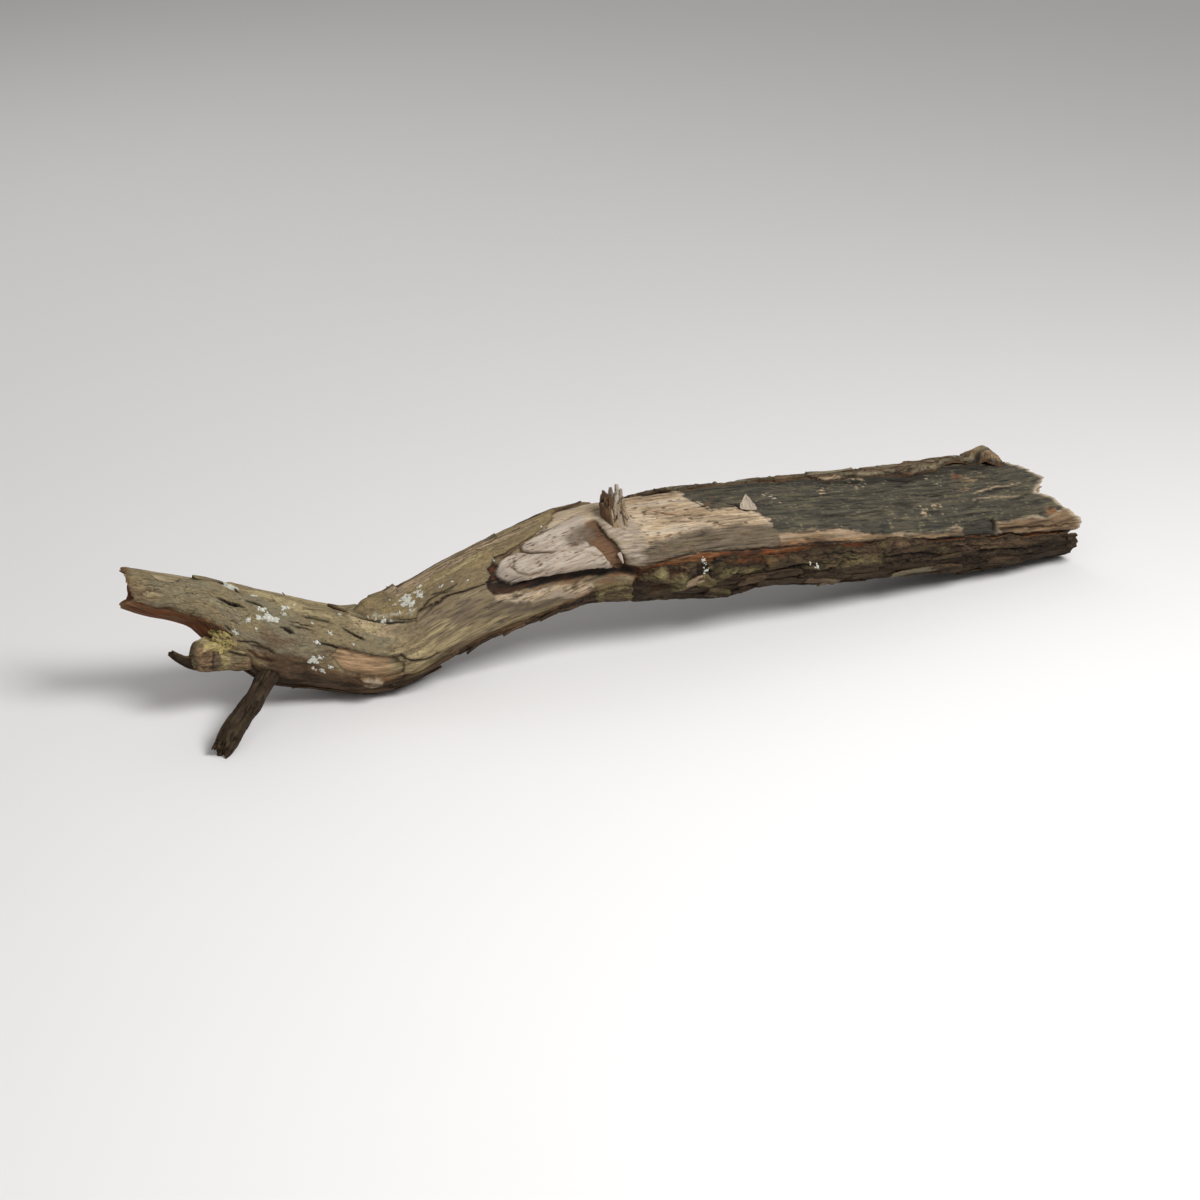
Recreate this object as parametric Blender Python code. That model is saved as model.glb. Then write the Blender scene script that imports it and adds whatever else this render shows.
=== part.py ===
"""Dead tree trunk lying on the ground: weathered wood with a broken fork, a dead side branch, a snapped
upright stub and splintered ends, and the loosened sheets of bark that still lie on it.

Tables are in millimetres and degrees, and Blender's own units are metres. +X runs along the trunk to its
thick end, +Z is up, and the ground is z = 0 under the middle of the trunk.
A place on the trunk is (x, turn): x along the trunk, and turn in degrees round the section, 0 on top,
90 on the front (-Y) side, 180 underneath and -90 at the back.
"""

import math
import random

import bmesh
import bpy
import numpy as np
from mathutils import Vector, noise

MM = 0.001

# The middle of the trunk's outline on the ground, in the tables' millimetres: it is the part's origin.
ORIGIN = (-23.5, -2.4, -3.0)

# The middle line of the wood, and its half height and half width: x, y, z, half height, half width.
TRUNK_STATIONS = (
    (-905, 101, 229, 31, 32),
    (-880, 96, 219, 35, 36),
    (-849, 90, 208, 37, 39),
    (-809, 85, 195, 38, 43),
    (-768, 76, 178, 42, 48),
    (-730, 66, 150, 54, 58),
    (-682, 55, 122, 63, 66),
    (-585, 33, 88, 64, 67),
    (-535, 24, 75, 66, 70),
    (-493, 17, 69, 68, 73),
    (-440, 12, 78, 66, 75),
    (-387, 10, 101, 68, 74),
    (-333, 8, 123, 70, 74),
    (-224, 7, 152, 75, 80),
    (-111, 8, 173, 79, 84),
    (20, 8, 165, 85, 92),
    (212, 5, 154, 85, 96),
    (409, 6, 132, 89, 98),
    (614, 14, 108, 92, 99),
    (719, 18, 97, 92, 99),
    (900, 22, 88, 89, 94),
)

# How far the wood reaches at each broken end, all the way round: turn, x.
FORK_BREAK = (
    (-180, -884), (-130, -876), (-80, -884), (-20, -906), (20, -898), (60, -884), (92, -868),
    (115, -878), (140, -890), (180, -884),
)
FORK_BREAK_RING = -860
FORK_BREAK_DEPTH = 34
THICK_BREAK = (
    (-180, 820), (-140, 800), (-100, 828), (-60, 790), (-27, 736), (-7, 742), (18, 782), (33, 800),
    (50, 772), (60, 803), (72, 822), (85, 852), (96, 858), (106, 832), (126, 860), (142, 838), (180, 820),
)
THICK_BREAK_RING = 800
THICK_BREAK_JAG = 16
BREAK_BLEND = 110

# The spacing of the rings of the skin along x: finer at the breaks and round the hollows.
RING_SPACING = ((-900, 13), (-780, 14), (-700, 18), (-320, 16), (-285, 11), (-30, 11), (40, 20), (700, 20), (780, 13), (860, 12))
TURN_CELLS = 28

# Swellings and flats of the wood: x, turn, height, reach along x, reach in turn.
SWELLINGS = (
    (-462, -22, 8, 50, 26),
    (-72, 38, 11, 42, 24),
    (-648, 140, 7, 42, 30),
    (-738, 112, 6, 30, 26),
    (140, 150, 7, 60, 20),
    (460, 32, -10, 420, 34),
    (420, 91, 5, 470, 14),
    (-190, 72, 8, 72, 15),
    (790, 203, 12, 90, 22),
    (-455, 203, 9.5, 70, 22),
)

# Hollows of the wood, each along a line of places: depth, half width, places.
HOLLOWS = (
    (15, 15, ((-272, 46), (-266, 58), (-233, 80), (-107, 99), (-56, 98))),
    (9, 15, ((-112, 42), (-88, 62), (-56, 88))),
)

# Sheets of bark: their thickness, outline and holes.
BARK_SHEETS = {
    "bark_fork_sleeve": (
        6.5,
        (
            (-886, -10), (-830, 6), (-800, 30), (-757, 4), (-748, -40), (-745, -150), (-560, -150), (-520, -120),
            (-505, -40), (-530, 0), (-515, 24), (-480, 35), (-438, 44), (-408, 58), (-426, 74), (-425, 96),
            (-390, 112), (-372, 136), (-400, 221), (-538, 221), (-562, 204), (-720, 204), (-735, 150), (-745, 100), (-769, 100),
            (-806, 90), (-833, 94), (-855, 84), (-886, 90),
        ),
        (((-574, 80), (-563, 68), (-539, 68), (-505, 73), (-472, 80), (-455, 93), (-461, 107), (-493, 103), (-545, 98)),),
    ),
    "bark_bend_sheet": (
        6.5,
        (
            (-530, 0), (-515, 22), (-480, 33), (-438, 42), (-406, 54), (-396, 45), (-361, 44), (-320, 47),
            (-286, 46), (-281, 32), (-257, 20), (-232, 21), (-213, 17), (-177, 7), (-148, -4), (-70, -16),
            (-40, -60), (-50, -150), (-300, -150), (-520, -120), (-505, -40),
        ),
        (),
    ),
    "bark_belly_sheet": (
        6.5,
        (
            (-372, 136), (-340, 128), (-260, 130), (-190, 124), (-128, 116), (-110, 113), (-36, 114), (-30, 125),
            (-18, 160), (-5, 206), (-100, 206), (-400, 204),
        ),
        (),
    ),
    "bark_underside_sheet": (
        8.0,
        (
            (-36, 114), (-20, 96), (50, 90), (95, 92), (177, 100), (215, 104), (251, 92), (321, 87), (385, 88),
            (431, 84), (475, 84), (543, 88), (603, 91), (663, 91), (744, 95), (813, 100), (880, 104), (890, 140),
            (860, 180), (835, 222), (600, 228), (300, 226), (20, 220), (-5, 206), (-18, 160), (-30, 125),
        ),
        (),
    ),
    "bark_back_sheet": (
        7.0,
        (
            (20, -34), (60, -20), (108, -18), (180, -28), (245, -26), (268, -14), (352, -3), (391, 0), (478, -2),
            (532, 8), (601, -2), (640, -14), (700, -6), (742, -6), (765, -25), (795, -60), (830, -100),
            (815, -134), (600, -128), (300, -130), (20, -136), (-50, -146), (-40, -60),
        ),
        (),
    ),
}
BARK_GAP = 0.9
BARK_EDGE_PULL = 0.14
EDGE_SMOOTHINGS = 2
# Where a sheet has curled up off the wood: x, turn, height, reach along x, reach in turn.
BARK_LIFTS = (
    (738, -12, 22, 34, 20),
    (660, -2, 7, 26, 12),
    (560, 14, 4, 60, 12),
    (-400, 44, 5, 40, 10),
    (-490, -6, 5, 40, 12),
    (150, 150, 4, 50, 24),
)

# The limbs that are one piece with the trunk. A route point is x, y, z, half thickness.
SIDE_BRANCH = (
    (-640, 40, 93, 21),
    (-666, 14, 68, 20),
    (-706, -28, 49, 19),
    (-750, -70, 31, 19.5),
    (-788, -108, 15, 18.5),
    (-806, -126, 7, 15),
)
LOWER_FORK = (
    (-672, 42, 104, 38),
    (-712, 32, 108, 34),
    (-745, 26, 113, 29),
    (-772, 24, 117, 27),
    (-790, 23, 116, 22),
    (-803, 22, 110, 13),
    (-822, 22, 112, 8.5),
    (-842, 22, 130, 5),
)
STUB_CORE = (
    (-46, -18, 205, 29),
    (-50, -32, 232, 23),
    (-55, -32, 258, 21.5),
    (-60, -31, 284, 19),
)
STUB_SPLINTERS = 9
STUB_TOP = 305
STUB_RAGGED = 18
BREAK_SPLINTERS = 12


def smooth_between(x, knots, values):
    """Values at x on a smooth cubic through the knots, with one column for each column of values."""
    knots = np.asarray(knots, float)
    values = np.asarray(values, float)
    slopes = np.gradient(values, knots, axis=0)
    i = np.clip(np.searchsorted(knots, x) - 1, 0, len(knots) - 2)
    width = knots[i + 1] - knots[i]
    t = np.clip((x - knots[i]) / width, 0, 1)
    shape = (...,) + (None,) * (values.ndim - 1)
    t, width = t[shape], width[shape]
    return (
        values[i] * (1 + 2 * t) * (1 - t) ** 2
        + values[i + 1] * t**2 * (3 - 2 * t)
        + slopes[i] * width * t * (1 - t) ** 2
        - slopes[i + 1] * width * t**2 * (1 - t)
    )


def turn_between(turn, other, whole=360):
    """The signed step round the section from other to turn, the short way, where a full round is whole."""
    return (np.asarray(turn, float) - other + whole / 2) % whole - whole / 2


def sections(x):
    """The middle, the up and front directions, and the half sizes of the wood's section at x."""
    stations = np.array(TRUNK_STATIONS, float)
    here = smooth_between(x, stations[:, 0], stations[:, 1:])
    ahead = smooth_between(x + 1, stations[:, 0], stations[:, 1:])
    along = np.stack([np.ones_like(x), ahead[..., 0] - here[..., 0], ahead[..., 1] - here[..., 1]], -1)
    along /= np.linalg.norm(along, axis=-1, keepdims=True)
    front = np.cross(along, [0.0, 0.0, 1.0])
    front /= np.linalg.norm(front, axis=-1, keepdims=True)
    up = np.cross(front, along)
    middle = np.stack([x, here[..., 0], here[..., 1]], -1)
    return middle, up, front, here[..., 2], here[..., 3]


def blobs(x, turn, places):
    """The sum of smooth round heights at the places, each x, turn, height, reach along x, reach in turn."""
    height = np.zeros_like(x)
    for place_x, place_turn, size, reach_x, reach_turn in places:
        away = ((x - place_x) / reach_x) ** 2 + (turn_between(turn, place_turn) / reach_turn) ** 2
        height += size * np.exp(-away)
    return height


def distance_to_line(x, turn, places, radius):
    """How far (x, turn) lies along the skin from a line of places, on a section of that radius."""
    nearest = np.full_like(x, 1e9)
    to_mm = math.radians(radius)
    for (x0, turn0), (x1, turn1) in zip(places, places[1:]):
        run, rise = x1 - x0, (turn1 - turn0) * to_mm
        across = turn_between(turn, turn0) * to_mm
        share = np.clip(((x - x0) * run + across * rise) / (run**2 + rise**2), 0, 1)
        nearest = np.minimum(nearest, np.hypot(x - x0 - share * run, across - share * rise))
    return nearest


def roughness(points, size):
    """Smooth noise from -1 to 1 at each point, with lumps of that size, drawn out along the trunk."""
    stretch = Vector((0.4, 1, 1)) / size
    return np.array([noise.noise(Vector(p) * stretch) for p in points.reshape(-1, 3)]).reshape(points.shape[:-1])


def wood_skin(x, turn):
    """Points on the wood's surface at (x, turn)."""
    middle, up, front, half_height, half_width = sections(x)
    angle = np.radians(turn)
    radius = 1 / np.sqrt((np.cos(angle) / half_height) ** 2 + (np.sin(angle) / half_width) ** 2)
    outward = np.cos(angle)[..., None] * up + np.sin(angle)[..., None] * front
    radius = radius + blobs(x, turn, SWELLINGS)
    for depth, half_width_mm, places in HOLLOWS:
        radius -= depth * np.exp(-((distance_to_line(x, turn, places, 80) / half_width_mm) ** 2))
    radius += 2.2 * roughness(middle + radius[..., None] * outward, 55)
    return middle + radius[..., None] * outward


def skin_normals(x, turn):
    """Outward unit normals of the wood's surface at (x, turn)."""
    along = wood_skin(x + 3, turn) - wood_skin(x - 3, turn)
    around = wood_skin(x, turn + 3) - wood_skin(x, turn - 3)
    normal = np.cross(around, along)
    return normal / np.linalg.norm(normal, axis=-1, keepdims=True)


def ring_places():
    """The x of each ring of the skin before the ends are broken."""
    knots, gaps = np.array(RING_SPACING, float).T
    places = [FORK_BREAK_RING]
    while places[-1] < THICK_BREAK_RING:
        places.append(places[-1] + float(np.interp(places[-1], knots, gaps)))
    return np.array(places)


def broken(x, turn):
    """Where ring x lies at this turn once the two ends are broken off ragged."""
    last = ring_places()[-1]
    turn = turn_between(turn, 0)
    to_fork = np.clip((FORK_BREAK_RING + BREAK_BLEND - x) / BREAK_BLEND, 0, 1) ** 2
    to_thick = np.clip((x - last + BREAK_BLEND) / BREAK_BLEND, 0, 1) ** 2
    fork_knots, fork_reach = np.array(FORK_BREAK, float).T
    thick_knots, thick_reach = np.array(THICK_BREAK, float).T
    fork_shift = np.interp(turn, fork_knots, fork_reach) - FORK_BREAK_RING
    thick_shift = np.interp(turn, thick_knots, thick_reach) - last
    return x + to_fork * fork_shift + to_thick * thick_shift


def new_mesh_object(name, points, faces, collection):
    """An object with this mesh, its points given in millimetres."""
    mesh = bpy.data.meshes.new(name)
    mesh.from_pydata(((np.asarray(points) - ORIGIN) * MM).tolist(), [], faces)
    made = bmesh.new()
    made.from_mesh(mesh)
    bmesh.ops.recalc_face_normals(made, faces=made.faces)
    made.to_mesh(mesh)
    made.free()
    obj = bpy.data.objects.new(name, mesh)
    collection.objects.link(obj)
    return obj


def halves(a, b, c, d):
    """The two triangles of the quad a, b, c, d, split from a to c."""
    return [(a, b, c), (a, c, d)]


def tube_faces(rings, sides):
    """The skin between rings of points, and the fans from the first and last ring to the two points after them."""
    faces = []
    for i in range(rings - 1):
        for j in range(sides):
            k = (j + 1) % sides
            faces += halves(i * sides + j, i * sides + k, (i + 1) * sides + k, (i + 1) * sides + j)
    first, last = rings * sides, rings * sides + 1
    for j in range(sides):
        k = (j + 1) % sides
        faces.append((first, k, j))
        faces.append((last, (rings - 1) * sides + j, (rings - 1) * sides + k))
    return faces


def trunk_body(collection):
    """The trunk's wood from break to break, hollow at the fork's end and jagged at the thick end."""
    draw = random.Random(11)
    turns = np.arange(TURN_CELLS) * 360 / TURN_CELLS
    x, turn = np.meshgrid(ring_places(), turns, indexing="ij")
    skin = wood_skin(broken(x, turn), turn)
    rings = list(skin)
    fork_middle, thick_middle = skin[0].mean(axis=0), skin[-1].mean(axis=0)
    for share in (0.78, 0.42):
        inset = fork_middle + share * (skin[0] - fork_middle)
        inset[:, 0] += FORK_BREAK_DEPTH * (1 - share)
        rings.insert(0, inset)
    for share in (0.8, 0.5, 0.22):
        inset = thick_middle + share * (skin[-1] - thick_middle)
        inset[:, 0] += [draw.uniform(-1, 1) * THICK_BREAK_JAG for _ in turns]
        rings.append(inset)
    ends = [fork_middle + [FORK_BREAK_DEPTH, 0, 0], thick_middle - [6, 0, 0]]
    points = np.concatenate(rings + [np.array(ends)])
    return new_mesh_object("wood", points, tube_faces(len(rings), TURN_CELLS), collection)


def limb(name, route, sides, roughen, collection, seed):
    """A rough limb along a route of x, y, z, half thickness, closed at both ends."""
    draw = random.Random(seed)
    route = np.array(route, float)
    along = np.gradient(route[:, :3], axis=0)
    along /= np.linalg.norm(along, axis=1, keepdims=True)
    side = np.cross(along, [0.31, 0.95, 0.05])
    side /= np.linalg.norm(side, axis=1, keepdims=True)
    other = np.cross(along, side)
    points = []
    for i, (place, half) in enumerate(zip(route[:, :3], route[:, 3])):
        for j in range(sides):
            angle = 2 * math.pi * j / sides
            reach = half * (1 + roughen * draw.uniform(-1, 1))
            points.append(place + reach * (math.cos(angle) * side[i] + math.sin(angle) * other[i]))
    points.append(route[0, :3] - along[0] * route[0, 3] * 0.3)
    points.append(route[-1, :3] + along[-1] * route[-1, 3] * 0.5)
    return new_mesh_object(name, points, tube_faces(len(route), sides), collection)


def splinter(name, root, tip, half_thick, blunt, collection, seed):
    """A torn splinter of wood, from its thick sunk root to a tip that is blunt times as thick."""
    root, tip = np.array(root, float), np.array(tip, float)
    route = [(*(root + (tip - root) * share), half_thick * size) for share, size in ((0, 1), (0.6, 0.9), (1, blunt))]
    return limb(name, route, 5, 0.18, collection, seed)


def stub_splinters(collection):
    """The torn fibres that stand up round the top of the snapped stub."""
    draw = random.Random(5)
    x, y, z, half = STUB_CORE[-1]
    for i in range(STUB_SPLINTERS):
        angle = 2 * math.pi * i / STUB_SPLINTERS
        reach = half * draw.uniform(0.55, 0.75)
        root = (x + reach * math.cos(angle), y + reach * math.sin(angle), z - 26)
        tip = (root[0] + draw.uniform(-3, 3), root[1] + draw.uniform(-3, 3), STUB_TOP - draw.uniform(0, STUB_RAGGED))
        splinter(f"stub_splinter_{i}", root, tip, draw.uniform(7.5, 9.5), 0.55, collection, 40 + i)


def break_splinters(collection):
    """The long splinters that stick out of the break at the thick end."""
    draw = random.Random(8)
    knots, reach = np.array(THICK_BREAK, float).T
    for i in range(BREAK_SPLINTERS):
        turn = 360 * (i + draw.uniform(-0.3, 0.3)) / BREAK_SPLINTERS
        end = float(np.interp(turn_between(turn, 0), knots, reach))
        near, far = sections(np.array([end - 75, end]))[0]
        inside = draw.uniform(0.52, 0.78)
        root = near + inside * (wood_skin(np.array(end - 75), np.array(turn)) - near)
        tip = root + (far - near) * (1 + draw.uniform(-0.2, 0.16))
        splinter(f"break_splinter_{i}", root, tip, draw.uniform(6, 9), 0.3, collection, 70 + i)


def union_with(obj, collection):
    """Joins everything in the collection to the object, and removes the collection's objects."""
    joined = obj.modifiers.new("join_limbs", "BOOLEAN")
    joined.operation = "UNION"
    joined.operand_type = "COLLECTION"
    joined.collection = collection
    joined.solver = "MANIFOLD"
    bpy.context.view_layer.update()
    graph = bpy.context.evaluated_depsgraph_get()
    mesh = bpy.data.meshes.new_from_object(obj.evaluated_get(graph))
    obj.modifiers.clear()
    obj.data = mesh
    for piece in list(collection.objects):
        bpy.data.objects.remove(piece)
    bpy.data.collections.remove(collection)


def stand_on_ground(obj):
    """Wears flat whatever would reach below the ground."""
    for vertex in obj.data.vertices:
        vertex.co.z = max(vertex.co.z, 0.0)


def make_wood(collection):
    """The trunk and everything that grew as one piece with it."""
    limbs = bpy.data.collections.new("limbs")
    bpy.context.scene.collection.children.link(limbs)
    wood = trunk_body(collection)
    limb("side_branch", SIDE_BRANCH, 12, 0.07, limbs, 2)
    limb("lower_fork", LOWER_FORK, 12, 0.08, limbs, 3)
    limb("stub_core", STUB_CORE, 12, 0.08, limbs, 4)
    stub_splinters(limbs)
    break_splinters(limbs)
    union_with(wood, limbs)
    stand_on_ground(wood)
    return wood


def inside(outline, x, turn):
    """Whether each (x, turn) lies inside the outline."""
    within = np.zeros(x.shape, bool)
    for (x0, t0), (x1, t1) in zip(outline, outline[1:] + outline[:1]):
        crosses = (t0 > turn) != (t1 > turn)
        rise = np.where(crosses, t1 - t0, 1)
        within ^= crosses & (x < x0 + (turn - t0) / rise * (x1 - x0))
    return within


def ragged_inside(outline, x, turn):
    """inside, with the outline broken up by noise, at any winding of the turn."""
    places = list(zip(x.ravel(), turn.ravel()))
    shift_x = np.array([16 * noise.noise(Vector((a / 60, b / 30, 3.7))) for a, b in places])
    shift_t = np.array([8 * noise.noise(Vector((a / 60, b / 30, 9.1))) for a, b in places])
    x = x + shift_x.reshape(x.shape)
    turn = turn + shift_t.reshape(turn.shape)
    return inside(outline, x, turn) | inside(outline, x, turn - 360)


def near_limb(points, route, clearance):
    """Whether each point lies nearer than clearance to a limb's skin."""
    route = np.array(route, float)
    near = np.zeros(points.shape[:-1], bool)
    for a, b in zip(route, route[1:]):
        step = b[:3] - a[:3]
        share = np.clip((points - a[:3]) @ step / (step @ step), 0, 1)
        away = np.linalg.norm(points - a[:3] - share[..., None] * step, axis=-1)
        near |= away < a[3] + share * (b[3] - a[3]) + clearance
    return near


def without_corner_touches(cells):
    """The cells, with one added wherever two would meet at a corner only."""
    cells = cells.copy()
    changed = True
    while changed:
        right = np.roll(cells, -1, axis=1)
        ahead, across = cells[1:], right[:-1]
        both = right[1:]
        here = cells[:-1]
        falling = here & both & ~ahead & ~across
        rising = ahead & across & ~here & ~both
        changed = bool(falling.any() or rising.any())
        cells[1:] |= falling
        cells[:-1] |= rising
    return cells


def largest_group(cells):
    """The largest group of cells that share sides."""
    left = {tuple(c) for c in np.argwhere(cells)}
    best = set()
    while left:
        group, edge = set(), [left.pop()]
        while edge:
            i, j = edge.pop()
            group.add((i, j))
            for near in ((i + 1, j), (i - 1, j), (i, (j + 1) % TURN_CELLS), (i, (j - 1) % TURN_CELLS)):
                if near in left:
                    left.remove(near)
                    edge.append(near)
        best = max(best, group, key=len)
    kept = np.zeros_like(cells)
    kept[tuple(np.array(sorted(best)).T)] = True
    return kept


def sheet_cells(outline, holes, taken):
    """The cells of the skin grid that a sheet of bark covers, leaving out those that another sheet has."""
    rings = ring_places()
    turns = np.arange(TURN_CELLS) * 360 / TURN_CELLS
    x, turn = np.meshgrid((rings[1:] + rings[:-1]) / 2, turns + 180 / TURN_CELLS, indexing="ij")
    real_x = broken(x, turn)
    turn = turn_between(turn, 0)
    cells = ragged_inside(outline, real_x, turn)
    for hole in holes:
        cells &= ~ragged_inside(hole, real_x, turn)
    middles = wood_skin(real_x, turn)
    for route in (SIDE_BRANCH, LOWER_FORK, STUB_CORE):
        cells &= ~near_limb(middles, route, 14)
    cells &= ~taken
    return largest_group(without_corner_touches(cells) & ~taken)


def sheet_edge(quads):
    """The neighbours of each corner along the sheet's edge."""
    sides = {(a, b) for quad in quads for a, b in zip(quad, quad[1:] + quad[:1])}
    beside = {}
    for a, b in sides:
        if (b, a) not in sides:
            beside.setdefault(a, []).append(b)
            beside.setdefault(b, []).append(a)
    return beside


def sheet_corners(keys, quads, draw):
    """Where each corner of a sheet lies on the skin grid: its edge runs smooth and a little ragged.

    A corner moves only over the sheet's own cells, because a sheet that spans a corner of the skin would cut it.
    """
    place = np.array(keys, float)
    cells_round = {}
    for quad in quads:
        ring, side = keys[quad[0]]
        for n in quad:
            toward = (0.5 - (keys[n][0] - ring), 0.5 - (keys[n][1] - side) % TURN_CELLS)
            cells_round.setdefault(n, []).append(toward)
    beside = sheet_edge(quads)
    for _ in range(EDGE_SMOOTHINGS):
        last = place.copy()
        for n, near in beside.items():
            steps = [(last[m][0] - last[n][0], turn_between(last[m][1], last[n][1], TURN_CELLS)) for m in near]
            place[n] = last[n] + 0.5 * np.mean(steps, axis=0)
    for n in beside:
        toward = np.array(cells_round[n])
        way = np.sign(toward.sum(axis=0)) * (np.abs(toward.sum(axis=0)) > 0.4 * len(toward))
        moved = np.array([place[n][0] - keys[n][0], turn_between(place[n][1], keys[n][1], TURN_CELLS)])
        moved = np.clip(moved * way, 0, 0.4) + BARK_EDGE_PULL * draw.uniform(0.6, 1.5)
        place[n] = keys[n] + moved * way
    return place


def on_grid(place):
    """The x, turn, point and normal at each place on the skin grid, straight between the grid's own corners."""
    rings = ring_places()
    x, turn = np.meshgrid(rings, np.arange(TURN_CELLS + 1) * 360 / TURN_CELLS, indexing="ij")
    real_x = broken(x, turn)
    kinds = np.concatenate(
        [real_x[..., None], turn[..., None], wood_skin(real_x, turn), skin_normals(real_x, turn)], axis=-1
    )
    ring, side = np.clip(place[:, 0], 0, len(rings) - 1), place[:, 1] % TURN_CELLS
    i, j = np.minimum(ring.astype(int), len(rings) - 2), side.astype(int)
    s, t = (ring - i)[:, None], (side - j)[:, None]
    near = kinds[i, j] * (1 - t) + kinds[i, j + 1] * t
    far = kinds[i + 1, j] * (1 - t) + kinds[i + 1, j + 1] * t
    found = near * (1 - s) + far * s
    normal = found[:, 5:8] / np.linalg.norm(found[:, 5:8], axis=1, keepdims=True)
    return found[:, 0], found[:, 1], found[:, 2:5], normal


def bark_sheet(name, thickness, cells, collection):
    """A sheet of bark over these cells, a hair off the wood, as one closed solid."""
    keys = sorted({(i + a, (j + b) % TURN_CELLS) for i, j in np.argwhere(cells) for a in (0, 1) for b in (0, 1)})
    index = {key: n for n, key in enumerate(keys)}
    quads = []
    for i, j in np.argwhere(cells):
        k = (j + 1) % TURN_CELLS
        quads.append([index[i, j], index[i, k], index[i + 1, k], index[i + 1, j]])
    place = sheet_corners(keys, quads, random.Random(name))
    x, turn, wood, normal = on_grid(place)
    lift = BARK_GAP + blobs(x, turn, BARK_LIFTS)
    ridges = 0.38 * roughness(wood, 28) + 0.16 * roughness(wood, 11)
    inner = wood + normal * lift[:, None]
    outer = wood + normal * (lift + thickness * (1 + ridges))[:, None]
    count = len(keys)
    outer_faces = [half for quad in quads for half in halves(*quad)]
    faces = outer_faces + [tuple(count + v for v in reversed(half)) for half in outer_faces]
    sides = {(a, b) for quad in quads for a, b in zip(quad, quad[1:] + quad[:1])}
    for a, b in sorted(sides):
        if (b, a) not in sides:
            faces += halves(b, a, count + a, count + b)
    sheet = new_mesh_object(name, np.concatenate([outer, inner]), faces, collection)
    stand_on_ground(sheet)
    return sheet


def material(name, colour, rough):
    """A plain finish for the solids."""
    made = bpy.data.materials.new(name)
    made.use_nodes = True
    shader = made.node_tree.nodes["Principled BSDF"]
    shader.inputs["Base Color"].default_value = (*colour, 1)
    shader.inputs["Roughness"].default_value = rough
    shader.inputs["Metallic"].default_value = 0
    return made


def main():
    for obj in list(bpy.data.objects):
        bpy.data.objects.remove(obj)
    trunk = bpy.data.collections.new("dead_tree_trunk")
    bpy.context.scene.collection.children.link(trunk)
    bare_wood = material("bare_wood", (0.36, 0.29, 0.21), 0.85)
    bark = material("bark", (0.17, 0.14, 0.08), 0.9)
    make_wood(trunk).data.materials.append(bare_wood)
    taken = np.zeros((len(ring_places()) - 1, TURN_CELLS), bool)
    for name, (thickness, outline, holes) in BARK_SHEETS.items():
        cells = sheet_cells(outline, holes, taken)
        taken |= cells
        bark_sheet(name, thickness, cells, trunk).data.materials.append(bark)


if __name__ == "__main__":
    main()
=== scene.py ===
"""The looks of a dead tree trunk that lies on the ground.

Tables are in millimetres and degrees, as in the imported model's source. A place on the trunk is (x, turn): x
along the trunk, and turn round the section, 0 on top, 90 on the front, 180 underneath and -90 at the back.
"""

import logging
import math
import random
from dataclasses import dataclass, field
from enum import Enum
from typing import Dict, Iterable, List, Optional, Sequence, Tuple, Union

import bpy
import numpy as np
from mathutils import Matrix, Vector, noise
from mathutils.bvhtree import BVHTree


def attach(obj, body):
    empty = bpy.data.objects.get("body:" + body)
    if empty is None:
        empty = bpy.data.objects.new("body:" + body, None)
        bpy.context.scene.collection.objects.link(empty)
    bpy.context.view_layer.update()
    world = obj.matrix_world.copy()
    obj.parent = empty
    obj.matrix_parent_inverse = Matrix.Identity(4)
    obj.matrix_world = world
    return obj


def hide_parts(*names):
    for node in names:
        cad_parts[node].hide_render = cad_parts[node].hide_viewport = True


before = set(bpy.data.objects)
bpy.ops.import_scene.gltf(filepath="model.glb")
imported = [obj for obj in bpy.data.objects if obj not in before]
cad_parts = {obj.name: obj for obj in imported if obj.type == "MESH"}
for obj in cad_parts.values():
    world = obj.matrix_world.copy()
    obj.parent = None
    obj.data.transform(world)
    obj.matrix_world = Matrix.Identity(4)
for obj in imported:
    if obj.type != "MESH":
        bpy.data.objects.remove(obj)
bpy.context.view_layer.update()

LOG = logging.getLogger("dead_tree_trunk")

Array = np.ndarray
Place = Tuple[float, float]
Places = Tuple[Place, ...]
Colour = Tuple[float, float, float]
Point = Tuple[float, float, float]
Route = Tuple[Tuple[float, ...], ...]
Blob = Tuple[float, float, float, float, float]

MM = 0.001
# The middle of the trunk's outline on the ground, in the tables' millimetres.
ORIGIN = np.array((-23.5, -2.4, -3.0))
# The least angle between two faces that shows as an edge, in degrees.
SHARP_ANGLE = 42.0
# The materials' unit along the grain is a centimetre.
GRAIN_SCALE = 0.1
# Farther than anything on the trunk, and a length that only keeps a division from failing.
FAR_AWAY = 1e9
TINY = 1e-9
# Factors of the usual hash that turns a place into a number from 0 to 1.
HASH_STEPS = (12.9898, 78.233, 37.719)
HASH_SCALE = 43758.5453
# The least that a finish leaves of the mesh's own colour.
DARKEST = 0.12
# A splinter's half thickness along its length, each a share of the length and of the thickness at the root.
SPLINTER_TAPER = ((0, 1), (0.3, 0.97), (0.6, 0.8), (0.85, 0.5))


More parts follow.
